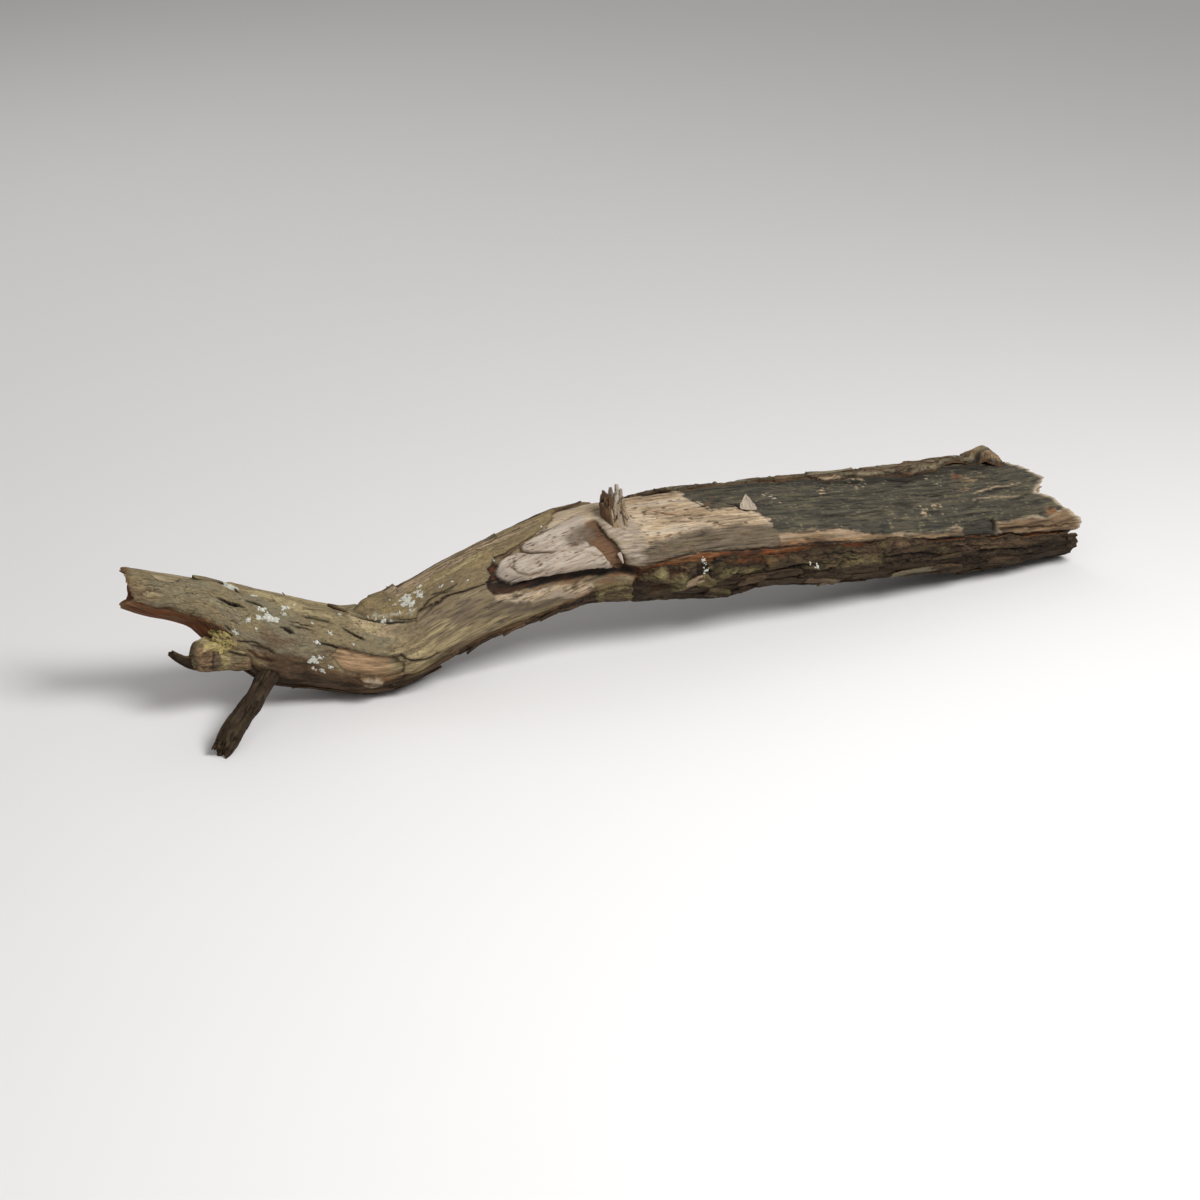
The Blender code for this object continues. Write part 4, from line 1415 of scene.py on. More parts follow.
@dataclass(frozen=True)
class Flake:
    """A loose flake of bark or wood on the trunk, lifted at one end."""

    x: float
    turn: float
    length: float
    width: float
    thick: float
    heading: float
    height: float
    lift: float
    tone: Tone
    other: Tone = Tone.DARK_BARK_AND_SHADE
    curl: float = 0.0
    taper: float = 0.2
    seed: float = 1.0

    def outline(self, u: Array, v: Array, flat: Array) -> Tuple[Array, Array]:
        """The flake's frayed outline.

        Args:
            u: each point's place along the flake, from -1 to 1.
            v: its place across the flake, from -1 to 1.
            flat: the point on the flake laid flat.

        Returns:
            How far along the flake and how far across it each point lies, in millimetres.
        """
        edge_u = 1 + 0.12 * lumps(flat * np.array((0.0, 1.0, 1.0)), 7, 1.0, self.seed) * np.abs(u)
        loose = flat * np.array((1.0, 0.0, 1.0))
        frayed = 0.26 * lumps(loose, 10, 1.0, self.seed + 4) + 0.16 * lumps(loose, 3.6, 1.0, self.seed)
        edge_v = 1 + frayed * np.abs(v)
        narrow = (1 - self.taper * (u + 1) / 2) * np.sqrt(np.clip(1 - 0.55 * np.abs(u) ** 5, 0.05, 1))
        return u * edge_u * self.length / 2, v * edge_v * narrow * self.width / 2

    @staticmethod
    def faces(rows: int, columns: int) -> List[Tuple[int, ...]]:
        """The faces of the flake's top, of its underside, and of the edge between them.

        Args:
            rows: how many points each has along the flake.
            columns: how many points each has across it.

        Returns:
            The corners of each face.
        """
        count = rows * columns
        faces = [tuple(reversed(f)) for f in grid_faces(rows, columns, False)]
        faces += grid_faces(rows, columns, False, count)
        border = [(i, 0) for i in range(rows)] + [(rows - 1, j) for j in range(1, columns)]
        border += [(i, columns - 1) for i in range(rows - 2, -1, -1)]
        border += [(0, j) for j in range(columns - 2, 0, -1)]
        loop = [i * columns + j for i, j in border]
        faces += [(a, b, count + b, count + a) for a, b in zip(loop, loop[1:] + loop[:1])]
        return [tuple(reversed(f)) for f in faces]

    def shape(self, form: TrunkForm) -> Shape:
        """The flake's mesh, bent round the trunk.

        Args:
            form: the trunk's form.

        Returns:
            Its closed mesh.
        """
        rows = max(7, int(self.length / 2.4))
        columns = max(6, int(self.width / 2.2))
        u, v = np.meshgrid(np.linspace(-1, 1, rows), np.linspace(-1, 1, columns), indexing="ij")
        flat = np.stack([u * self.length / 2, v * self.width / 2, u * 0 + self.seed * 13], -1)
        along, across = self.outline(u, v, flat)
        angle = math.radians(self.heading)
        per = form.per_degree(self.x)
        x = self.x + along * math.cos(angle) - across * math.sin(angle)
        turn = self.turn + (along * math.sin(angle) + across * math.cos(angle)) / per
        normal, skin = form.normals(x, turn), form.skin(x, turn)
        share = (u + 1) / 2
        rough = 0.7 * lumps(flat, 9, 0.5, self.seed + 8) + 0.35 * lumps(flat, 4, 0.4, self.seed + 3)
        height = self.height + self.lift * share**2 + self.curl * v**2
        thick = self.thick * (0.55 + 0.45 * np.clip((1 - np.abs(v)) * 3, 0, 1)) * (1 + 0.35 * rough)
        top = skin + normal * (height + thick / 2 + rough)[..., None]
        low = skin + normal * (height - thick / 2)[..., None]
        grain = np.stack([along + self.x, across + 40 * self.seed, rough * 0 + self.turn], -1)
        mottle = eased(0.5 + lumps(grain, 9, 0.3, self.seed))
        tint = blended(spread(self.tone, *u.shape), colour_of(self.other), 0.6 * mottle)
        tint = tint * (1 + 0.25 * rough)[..., None]
        count = rows * columns
        return Shape(
            np.concatenate([top.reshape(-1, 3), low.reshape(-1, 3)]),
            self.faces(rows, columns),
            np.concatenate([tint.reshape(-1, 3), spread(Tone.DARK_ROT, count)]),
            np.full(2 * count, 0.6),
            np.concatenate([grain.reshape(-1, 3), grain.reshape(-1, 3)]),
        )


def strewn_flakes(
    count: int, xs: Place, turns: Place, height: float, tones: Tuple[Tone, ...], seed: int
) -> Tuple[Flake, ...]:
    """Flakes strewn over an area.

    Args:
        count: how many.
        xs: the area's first and last x.
        turns: its first and last turn.
        height: how high they lie over the wood.
        tones: the tones to draw from.
        seed: another number strews them another way.

    Returns:
        The flakes.
    """
    draw = random.Random(seed)
    return tuple(
        Flake(
            x=draw.uniform(*xs),
            turn=draw.uniform(*turns),
            length=draw.uniform(30, 120),
            width=draw.uniform(8, 20),
            thick=draw.uniform(2.6, 4.6),
            heading=draw.choice((0, 180)) + draw.uniform(-7, 7),
            height=height,
            lift=draw.uniform(0, 4.5),
            tone=draw.choice(tones),
            other=draw.choice(tones),
            curl=draw.uniform(-1, 2),
            taper=draw.uniform(0.1, 0.6),
            seed=seed + n * 1.7,
        )
        for n in range(count)
    )


@dataclass
class Growth:
    """Crusts of lichen and cushions of moss that lie on whatever they grow on."""

    form: TrunkForm
    ground: BVHTree
    tone: Tone
    rim: Tone
    height: float
    lumpy: float
    spots: Tuple[Point, ...]
    scatter: float = 1.1
    look_from: float = 45.0
    look_length: float = 75.0

    def spot(self, x: float, turn: float, size: float, seed: int) -> Optional[Shape]:
        """One crust.

        Args:
            x: its place along the trunk.
            turn: its place round the trunk.
            size: half its width.
            seed: another number gives another outline.

        Returns:
            Its mesh, or None where nothing lies under it.
        """
        per = self.form.per_degree(x)
        rings, sides = max(3, int(size / 1.1)), max(14, int(size * 4))
        shares, angles = np.linspace(0, 1, rings + 1)[1:], np.arange(sides) * math.tau / sides
        share, angle = np.meshgrid(shares, angles, indexing="ij")
        loop = np.stack([np.cos(angle) * 10, np.sin(angle) * 10, angle * 0 + seed * 31], -1)
        reach = size * (1 + 0.55 * lumps(loop, 9, 1.0, 2.0) + 0.3 * lumps(loop, 3.4, 1.0, 5.0)) * share
        xs = np.append(x, (x + 1.15 * reach * np.cos(angle)).ravel())
        turns = np.append(turn, (turn + 0.85 * reach * np.sin(angle) / per).ravel())
        normal, skin = self.form.normals(xs, turns), self.form.skin(xs, turns)
        fade = np.append(0.0, share.ravel())
        rough = lumps(skin, 2.6, 1.0, seed) * self.lumpy
        thick = self.height * (1 - fade**3) * (1 + rough) + 0.15
        points = []
        for place, out, up, far in zip(skin.tolist(), normal.tolist(), thick.tolist(), fade.tolist()):
            direction = Vector(out)
            start = Vector(place) + self.look_from * direction
            hit = self.ground.ray_cast(start, -direction, self.look_length)[0]
            if hit is None:
                return None
            points.append(hit + direction * (up if far < 0.999 else -0.4))
        faces = [(0, 1 + j, 1 + (j + 1) % sides) for j in range(sides)]
        faces += grid_faces(rings, sides, True, 1)
        tint = blended(spread(self.tone, len(xs)), colour_of(self.rim), eased(fade * 1.3 - 0.5))
        tint = tint * (1 + 0.25 * lumps(skin, 3.5, 1.0, seed + 0.5))[:, None]
        found = np.array([tuple(p) for p in points])
        return Shape(found, faces, tint, np.full(len(xs), 0.5), found.copy())

    def shape(self) -> Shape:
        """All of them as one mesh, each a cluster of small crusts."""
        draw = random.Random(3)
        made = []
        for x, turn, size in self.spots:
            for n in range(1 + int(self.scatter * size)):
                angle, away = draw.uniform(0, math.tau), size * (0.0 if n == 0 else draw.uniform(0.35, 1.0))
                part = size * (0.62 if n == 0 else draw.uniform(0.14, 0.38))
                at = (x + 1.2 * away * math.cos(angle), turn + 0.7 * away * math.sin(angle))
                made.append(self.spot(*at, max(part, 1.3), len(made)))
        return Shape.joined([shape for shape in made if shape is not None])


@dataclass(frozen=True)
class Studio:
    """The pale floor, the soft lights and the camera."""

    azimuth: float = -25.0
    elevation: float = 25.0
    distance: float = 6.0
    aim: Point = (-0.0635, -0.0326, 0.103)
    lens: float = 104.65
    sensor: float = 36.0
    # Each light's name, place, size and power.
    lights: Tuple[Tuple[str, Point, float, float], ...] = (
        ("key_light", (1.0, -2.3, 3.1), 1.7, 170.0),
        ("fill_light", (-2.4, -2.4, 2.4), 2.6, 22.0),
        ("back_light", (-0.4, 3.0, 2.6), 2.6, 22.0),
    )
    sky: float = 0.3
    sky_colour: Colour = (1.0, 0.985, 0.97)
    floor_pale: Colour = (0.72, 0.705, 0.70)
    floor_worn: Colour = (0.68, 0.67, 0.665)
    floor_half: float = 14.0
    floor_drop: float = 0.0006

    def floor(self) -> None:
        """A wide, gently worn pale floor."""
        graph = Graph("studio_floor")
        place = graph.wire("ShaderNodeTexCoord", {}, {}, "Object")
        worn = graph.noise(place, 3.0, 3.0)
        material = graph.finished(
            Base_Color=graph.mixed(worn * 0.3, self.floor_pale, self.floor_worn), Roughness=0.9
        )
        mesh = bpy.data.meshes.new("studio_floor")
        half = self.floor_half
        corners = [(-half, -half, 0), (half, -half, 0), (half, half, 0), (-half, half, 0)]
        mesh.from_pydata(corners, [], [(0, 1, 2, 3)])
        mesh.materials.append(material)
        floor = bpy.data.objects.new("studio_floor", mesh)
        floor.location.z = -self.floor_drop
        bpy.context.scene.collection.objects.link(floor)

    def light(self, name: str, place: Point, size: float, power: float) -> None:
        """A soft square light that looks at the trunk."""
        lamp = bpy.data.lights.new(name, "AREA")
        lamp.size, lamp.energy = size, power
        made = bpy.data.objects.new(name, lamp)
        made.location = place
        made.rotation_euler = (Vector(self.aim) - Vector(place)).to_track_quat("-Z", "Y").to_euler()
        bpy.context.scene.collection.objects.link(made)

    def camera(self) -> None:
        """The camera, at the angle from which the trunk is seen."""
        turn, rise = math.radians(-self.azimuth), math.radians(self.elevation)
        look = Vector((math.sin(turn) * math.cos(rise), math.cos(turn) * math.cos(rise), -math.sin(rise)))
        lens = bpy.data.cameras.new("photo_view")
        lens.lens, lens.sensor_width, lens.sensor_fit = self.lens, self.sensor, "HORIZONTAL"
        lens.clip_end = 100.0
        made = bpy.data.objects.new("photo_view", lens)
        made.location = Vector(self.aim) - look * self.distance
        made.rotation_euler = look.to_track_quat("-Z", "Y").to_euler()
        bpy.context.scene.collection.objects.link(made)
        bpy.context.scene.camera = made

    def set_up(self) -> None:
        """Puts everything in place."""
        self.floor()
        for light in self.lights:
            self.light(*light)
        world = bpy.data.worlds.new("studio_sky")
        world.use_nodes = True
        background = world.node_tree.nodes["Background"]
        background.inputs["Color"].default_value = (*self.sky_colour, 1.0)
        background.inputs["Strength"].default_value = self.sky
        bpy.context.scene.world = world
        bpy.context.scene.view_settings.view_transform = "Standard"
        self.camera()


FORM = TrunkForm(
    stations=(
        (-905, 101, 229, 31, 32), (-880, 96, 219, 35, 36), (-849, 90, 208, 37, 39), (-809, 85, 195, 38, 43),
        (-768, 76, 178, 42, 48), (-730, 66, 150, 54, 58), (-682, 55, 122, 63, 66), (-585, 33, 88, 64, 67),
        (-535, 24, 75, 66, 70), (-493, 17, 69, 68, 73), (-440, 12, 78, 66, 75), (-387, 10, 101, 68, 74),
        (-333, 8, 123, 70, 74), (-224, 7, 152, 75, 80), (-111, 8, 173, 79, 84), (20, 8, 165, 85, 92),
        (212, 5, 154, 85, 96), (409, 6, 132, 89, 98), (614, 14, 108, 92, 99), (719, 18, 97, 92, 99),
        (900, 22, 88, 89, 94),
    ),
    shown=(-30.0, 142.0),
    swellings=(
        (-462, -22, 8, 50, 26), (-72, 38, 11, 42, 24), (-648, 140, 7, 42, 30), (-738, 112, 6, 30, 26),
        (-690, 160, -8, 30, 30), (-542, -6, -10, 34, 26), (140, 150, 7, 60, 20), (460, 32, -10, 420, 34),
        (420, 91, 5, 470, 14), (-190, 72, 8, 72, 15), (790, 203, 12, 90, 22), (-455, 203, 9.5, 70, 22),
    ),
    hollows=(
        (15, 15, ((-272, 45), (-266, 55), (-233, 74), (-170, 84), (-107, 95), (-56, 98))),
        (9, 15, ((-112, 42), (-88, 62), (-56, 88))),
    ),
    fork_break=(
        (-180, -884), (-130, -876), (-80, -884), (-20, -905), (0, -904), (50, -896), (80, -885), (89, -879),
        (96, -881), (110, -888), (128, -895), (150, -890), (180, -884),
    ),
    thick_break=(
        (-180, 820), (-140, 800), (-100, 828), (-60, 790), (-27, 736), (-7, 742), (18, 782), (33, 800),
        (50, 772), (60, 803), (72, 822), (85, 852), (96, 858), (106, 832), (126, 860), (142, 838),
        (180, 820),
    ),
)

SIDE_BRANCH = (
    (-634, 40, 95, 25), (-664, 14, 76, 20.5), (-703, -25, 57, 17.5), (-748, -67, 36, 17.5),
    (-794, -107, 15, 17.5), (-811, -122, 7, 15),
)
LOWER_FORK = (
    (-664, 42, 104, 42), (-708, 30, 106, 37.5), (-742, 25, 110, 31.5), (-766, 23, 112, 29.5),
    (-788, 22, 112, 26), (-802, 22, 112, 19), (-809, 22, 112, 7),
)
CURLED_SHARD = ((-768, 22, 97, 15), (-796, 22, 100, 12.5), (-820, 22, 111, 9.5), (-841, 22, 128, 6.5))
STUB = ((-48, -18, 205, 32), (-54, -32, 230, 25), (-60, -32, 256, 23), (-65, -31, 284, 21))
BARK_LIFTS = (
    (706, -12, 12, 13, 16), (640, -6, 6, 24, 12), (560, 14, 4, 60, 12), (-400, 44, 5, 40, 10),
    (-490, -6, 5, 40, 12), (150, 150, 4, 50, 24), (3, 97, 9, 10, 6), (45, 108, 10, 16, 9),
)

TONGUE_LOW = (
    (-262, 33), (-271, 40), (-269, 53), (-253, 64), (-229, 69), (-178, 75), (-128, 82), (-79, 90),
    (-63, 96), (-80, 87), (-95, 73), (-108, 58), (-134, 57), (-174, 47), (-205, 38), (-223, 31), (-245, 29),
)
TONGUE_HIGH = (
    (-211, 19), (-215, 28), (-205, 36), (-174, 47), (-134, 57), (-116, 56), (-112, 45), (-121, 36),
    (-106, 24), (-100, 10), (-136, 12), (-160, 14), (-182, 18),
)
CAVITY = (
    (-284, 34), (-267, 26), (-262, 33), (-271, 42), (-266, 56), (-250, 65), (-176, 76), (-77, 90),
    (-34, 90), (-34, 103), (-101, 100), (-150, 92), (-179, 87), (-215, 81), (-247, 77), (-273, 73),
    (-290, 70), (-295, 58),
)
RECESS = (
    (-107, 26), (-94, 25), (-91, 38), (-86, 50), (-72, 62), (-64, 71), (-52, 90), (-60, 97), (-83, 87),
    (-96, 72), (-108, 58), (-118, 46), (-113, 34),
)
CHIPPED = (
    (-290, 66), (-262, 74), (-204, 85), (-152, 94), (-118, 102), (-112, 114), (-100, 136), (-142, 124),
    (-185, 108), (-212, 100), (-255, 89), (-287, 79),
)
SLATE_FACE = (
    (70, -24), (87, -14), (88, 2), (101, 15), (112, 22), (120, 33), (153, 31), (172, 28), (186, 38),
    (204, 42), (218, 53), (222, 64), (241, 69), (279, 68), (314, 70), (347, 67), (381, 74), (415, 77),
    (443, 80), (473, 80), (521, 81), (585, 79), (604, 80), (625, 74), (645, 80), (670, 76), (698, 77),
    (742, 76), (787, 78), (820, 72), (870, 70), (870, -60), (60, -60),
)

BEND_PATCHES = (
    Patch(
        ((-470, 40), (-425, 48), (-380, 40), (-300, 44), (-270, 50), (-260, 78), (-330, 74), (-380, 66),
         (-440, 74)),
        Tone.BEND_BROWN, Tone.OLIVE_SHADE, 16, 5, 0, 0.35, 7, 0.14,
    ),
    Patch(
        ((-480, 66), (-440, 68), (-390, 66), (-330, 78), (-270, 98), (-200, 112), (-160, 128), (-200, 144),
         (-330, 146), (-400, 150), (-440, 116), (-480, 104)),
        Tone.OLIVE_WOOD, Tone.OLIVE_SHADE, 14, 6, 0, 0.5, 7, 0.12,
    ),
    Patch(
        ((-372, 62), (-330, 66), (-280, 76), (-240, 92), (-190, 106), (-170, 116), (-220, 116), (-300, 98),
         (-360, 82)),
        Tone.GREY_SHADE, Tone.OLIVE_SHADE, 15, 6, -0.6, 0.6, 7, 0.12, 0.9,
    ),
    Patch(
        ((-420, 104), (-360, 112), (-290, 126), (-230, 128), (-180, 132), (-230, 150), (-330, 150),
         (-420, 150)),
        Tone.BROWN_BARK, Tone.OLIVE_SHADE, 12, 6, 0, 0.7, 10, 0.14, 0.8,
    ),
)
WOOD_PATCHES = (
    Patch(
        ((-925, 84), (-880, 88), (-862, 91), (-847, 97), (-826, 92), (-805, 96), (-785, 101), (-761, 96),
         (-738, 92), (-715, 110), (-700, 200), (-920, 230)),
        Tone.RED_ROT, Tone.INNER_BARK, 5, 3, -1.5, 0.9, 9, 0.1,
    ),
    Patch(
        ((-900, 86), (-850, 92), (-830, 104), (-860, 118), (-900, 110)),
        Tone.TAN_SHADE, Tone.RED_ROT, 9, 5, 0, 0.8, 6, 0.1, 0.7,
    ),
    Patch(
        ((-770, 98), (-738, 90), (-728, 120), (-750, 160), (-790, 130)),
        Tone.DARK_ROT, Tone.RED_ROT, 12, 5, -2,
    ),
    Patch(
        ((-890, -30), (-862, 20), (-848, 38), (-824, 36), (-806, 18), (-750, -2), (-745, -60)),
        Tone.BEIGE_STRIP, Tone.OLIVE_BARK, 7, 4, 0, 0.5,
    ),
    Patch(
        ((-600, 56), (-430, 56), (-430, 118), (-600, 118)),
        Tone.TAN_PATCH, Tone.TAN_DARK, 8, 2, 0, 0.8, 6, 0.08,
    ),
    Patch(
        ((-545, -6), (-425, 116), (-380, 145), (-100, 128), (-60, 100), (-60, -10), (-300, -30)),
        Tone.BEND_BROWN, Tone.OLIVE_SHADE, 10, 4, 0, 0.45, 8, 0.14,
    ),
    *BEND_PATCHES,
    Patch(CHIPPED, Tone.CHIPPED_WOOD, Tone.TAN_WOOD, 5, 6, 0.8, 1.0, 7, 0.12),
    Patch(
        ((-240, 84), (-150, 100), (-110, 110), (-118, 130), (-170, 114), (-230, 96)),
        Tone.GREY_SHADE, Tone.TAN_WOOD, 12, 7, -0.3, 1.0, 4.5, 0.2, 0.25,
    ),
    Patch(
        ((-118, 107), (-80, 106), (-36, 108), (-14, 124), (-12, 146), (-92, 147), (-112, 126)),
        Tone.OLIVE_MOSSY, Tone.BROWN_BARK, 3, 3, 2.0, 0.6, 9, 0.3,
    ),
    Patch(
        ((-222, 24), (-150, 20), (-112, 30), (-84, 30), (-56, -18), (-150, -20), (-170, 4), (-200, 16)),
        Tone.PALE_TAN, Tone.TAN_WOOD, 5, 6, 0.5, 0.8, 5, 0.06,
    ),
    Patch(
        ((-250, 75), (-214, 80), (-150, 90), (-90, 97), (-30, 99), (-30, 110), (-90, 108), (-150, 98),
         (-214, 86), (-252, 80)),
        Tone.OLIVE_SHADE, Tone.INNER_BARK, 4, 3, -0.6, 0.9, 6, 0.08, 0.9,
    ),
    # The channel under the tongue, painted near black: dark rot with painted shade in the hollow.
    Patch(CAVITY, Tone.DARK_ROT, Tone.CRACK_SHADOW, 4, 2, -4.0, 0.6, 8, 0.1),
    Patch(((-278, 36), (-270, 31), (-268, 40), (-274, 48)), Tone.RED_ROT, Tone.DARK_ROT, 6, 3, 0),
    # The rotten recess under the stub: its own red brown, darkened as painted shade from the stub.
    Patch(RECESS, Tone.RECESS_BROWN, Tone.INNER_BARK, 4, 2, -3.5, 0.4, 10, 0.5),
    Patch(TONGUE_HIGH, Tone.PALE_WOOD, Tone.PALE_SHADE, 3, 2.5, 1.8, 0.3, 7, 0.12, 1.0),
    Patch(TONGUE_LOW, Tone.PALE_WOOD, Tone.PALE_SHADE, 3, 2, 2.8, 0.3, 7, 0.12, 1.0),
    Patch(
        ((-250, 56), (-180, 66), (-100, 79), (-70, 91), (-128, 83), (-229, 70)),
        Tone.PALE_SHADE, Tone.GREY_WOOD, 8, 3, 0, 0.7, 6, 0.06, 0.7,
    ),
    Patch(RECESS, Tone.RECESS_BROWN, Tone.INNER_BARK, 3, 2, 0.0, 0.3, 10, 0.5),
    # Painted shadow that the snapped stub casts to the left of the recess.
    Patch(
        ((-146, 36), (-128, 27), (-106, 27), (-102, 36), (-104, 48), (-126, 53), (-144, 50)),
        Tone.STUB_SHADOW, Tone.GREY_SHADE, 14, 3, -0.8, 0.1, 12, 0.4, 0.85,
    ),
    Patch(
        ((-88, 26), (-60, 24), (-22, 40), (-10, 66), (-26, 84), (-50, 89), (-60, 74), (-74, 60), (-86, 48)),
        Tone.PALE_SHADE, Tone.GREY_WOOD, 12, 5, 1.8, 0.8, 4, 0.2,
    ),
    Patch(
        ((-70, -25), (-62, 20), (-28, 44), (-20, 70), (-8, 90), (80, 80), (230, 78), (262, 62), (215, 40),
         (112, 26), (96, -30)),
        Tone.TAN_WOOD, Tone.PALE_TAN, 8, 5, 0, 0.7, 7, 0.06,
    ),
    Patch(
        ((-26, 66), (60, 56), (160, 50), (240, 66), (330, 72), (330, 84), (230, 84), (80, 80), (0, 90),
         (-31, 91)),
        Tone.GREY_OLIVE, Tone.GREY_SHADE, 16, 7, 0, 0.9, 5, 0.06, 0.95,
    ),
    Patch(
        ((0, 14), (60, 10), (120, 28), (170, 38), (215, 54), (150, 54), (60, 46), (-10, 50), (10, 30)),
        Tone.TAN_SHADE, Tone.TAN_WOOD, 12, 8, 0, 1.0, 4, 0.07, 0.7,
    ),
    Patch(
        ((-60, -14), (40, -16), (80, -8), (70, 2), (-20, 2), (-62, 4)),
        Tone.TAN_WOOD, Tone.TAN_SHADE, 8, 6, 0, 1.0, 4, 0.06,
    ),
    Patch(SLATE_FACE, Tone.SLATE, Tone.SLATE_GREEN, 2, 6, 0.8, 0.6, 8, 0.14),
    Patch(
        ((300, 16), (420, 8), (620, 4), (660, 20), (600, 44), (430, 56), (320, 44)),
        Tone.SLATE_GREEN, Tone.SLATE, 22, 6, 0, 0.9, 5, 0.08, 0.8,
    ),
    Patch(
        ((232, 71), (279, 70), (314, 71), (347, 69), (381, 75), (443, 81), (473, 82), (465, 85), (385, 84),
         (230, 84)),
        Tone.TAN_STRIP, Tone.TAN_SHADE, 3, 3, 1.4, 0.8, 6, 0.08,
    ),
    Patch(
        ((473, 81), (521, 81), (585, 80), (610, 84), (600, 88), (527, 88), (470, 86)),
        Tone.TAN_SHADE, Tone.SLATE, 3, 5, 1.0, 0.9, 5, 0.08,
    ),
    Patch(
        ((668, 78), (742, 78), (787, 79), (820, 74), (880, 74), (880, 98), (845, 99), (766, 93), (676, 89)),
        Tone.TAN_SHADE, Tone.BROWN_BARK, 4, 4, 1.2, 0.9, 7, 0.08,
    ),
    Patch(
        ((598, 79), (612, 74), (640, 73), (660, 77), (666, 84), (662, 89), (640, 91), (608, 90), (594, 85)),
        Tone.SLATE_DEEP, Tone.SLATE, 7, 7, -4.0, 0.8, 6, 0.2,
    ),
    Patch(
        ((-40, 92), (3, 86), (80, 82), (230, 85), (385, 84), (527, 88), (676, 91), (766, 95), (870, 102),
         (870, 112), (603, 100), (431, 93), (200, 108), (40, 101), (-36, 120)),
        Tone.DARK_ROT, Tone.RED_ROT, 5, 4, -3.5, 0.9, 9, 0.2,
    ),
    Patch(
        ((215, 80), (270, 78), (340, 80), (385, 82), (300, 86), (225, 87)),
        Tone.ORANGE_ROT, Tone.DARK_ROT, 5, 6, 0, 0.9, 6, 0.2, 0.65,
    ),
    Patch(
        ((10, 82), (60, 80), (130, 82), (100, 88), (20, 90)),
        Tone.RED_ROT, Tone.ORANGE_ROT, 6, 6, 0, 0.9, 5, 0.2, 0.8,
    ),
    Patch(
        ((778, 70), (792, 68), (802, 73), (796, 77), (780, 76)),
        Tone.ORANGE_ROT, Tone.RECESS_BROWN, 3, 2, 1.5, 0.4, 5, 0.5,
    ),
    Patch(
        ((612, 11), (632, 12), (630, 18), (610, 18)),
        Tone.RED_ROT, Tone.TAN_SHADE, 12, 9, 0, 0.8, 5, 0.4, 0.7,
    ),
    # A dark band just below the back bark's edge: the slate's own black, with painted shadow under the rim.
    Patch(
        ((80, -14), (745, -8), (742, 2), (600, 8), (520, 16), (360, 6), (260, -6), (90, -6)),
        Tone.SLATE, Tone.CRACK_SHADOW, 8, 5, 0, 0.8, 8, 0.1, 0.7,
    ),
)
WOOD_SPECKS = (
    (SLATE_FACE, Tone.SLATE_SPECK, 2.0, 0.3, 0.33), (SLATE_FACE, Tone.SLATE_DEEP, 3.0, 0.1, 0.44),
    (((226, 12), (246, 14), (252, 38), (234, 40)), Tone.PALE_TAN, 3.4, 0.6, 0.5),
    (((326, 8), (352, 9), (350, 24), (330, 24)), Tone.TAN_WOOD, 4.0, 0.5, 0.5),
    (((398, -2), (436, 0), (446, 16), (410, 17)), Tone.TAN_WOOD, 4.0, 0.4, 0.45),
    (((554, 10), (586, 12), (584, 26), (558, 25)), Tone.PALE_TAN, 3.4, 0.5, 0.5),
    (((600, 8), (700, 10), (700, 40), (600, 40)), Tone.TAN_SHADE, 2.8, 0.3, 0.38),
    (((515, 50), (560, 50), (565, 66), (515, 66)), Tone.TAN_WOOD, 2.8, 0.5, 0.5),
    (TONGUE_LOW, Tone.BROWN_BARK, 2.8, 0.3, 0.32), (TONGUE_HIGH, Tone.BROWN_BARK, 2.8, 0.3, 0.34),
    (
        ((-70, -25), (-62, 20), (-28, 44), (-8, 90), (80, 80), (250, 70), (96, -30)),
        Tone.BROWN_BARK, 2.8, 0.2, 0.36,
    ),
    (CHIPPED, Tone.OLIVE_SHADE, 2.4, 0.18, 0.46),
    (((-470, 44), (-270, 50), (-200, 112), (-330, 140), (-440, 120)), Tone.GREY_SHADE, 3.0, 0.15, 0.42),
)
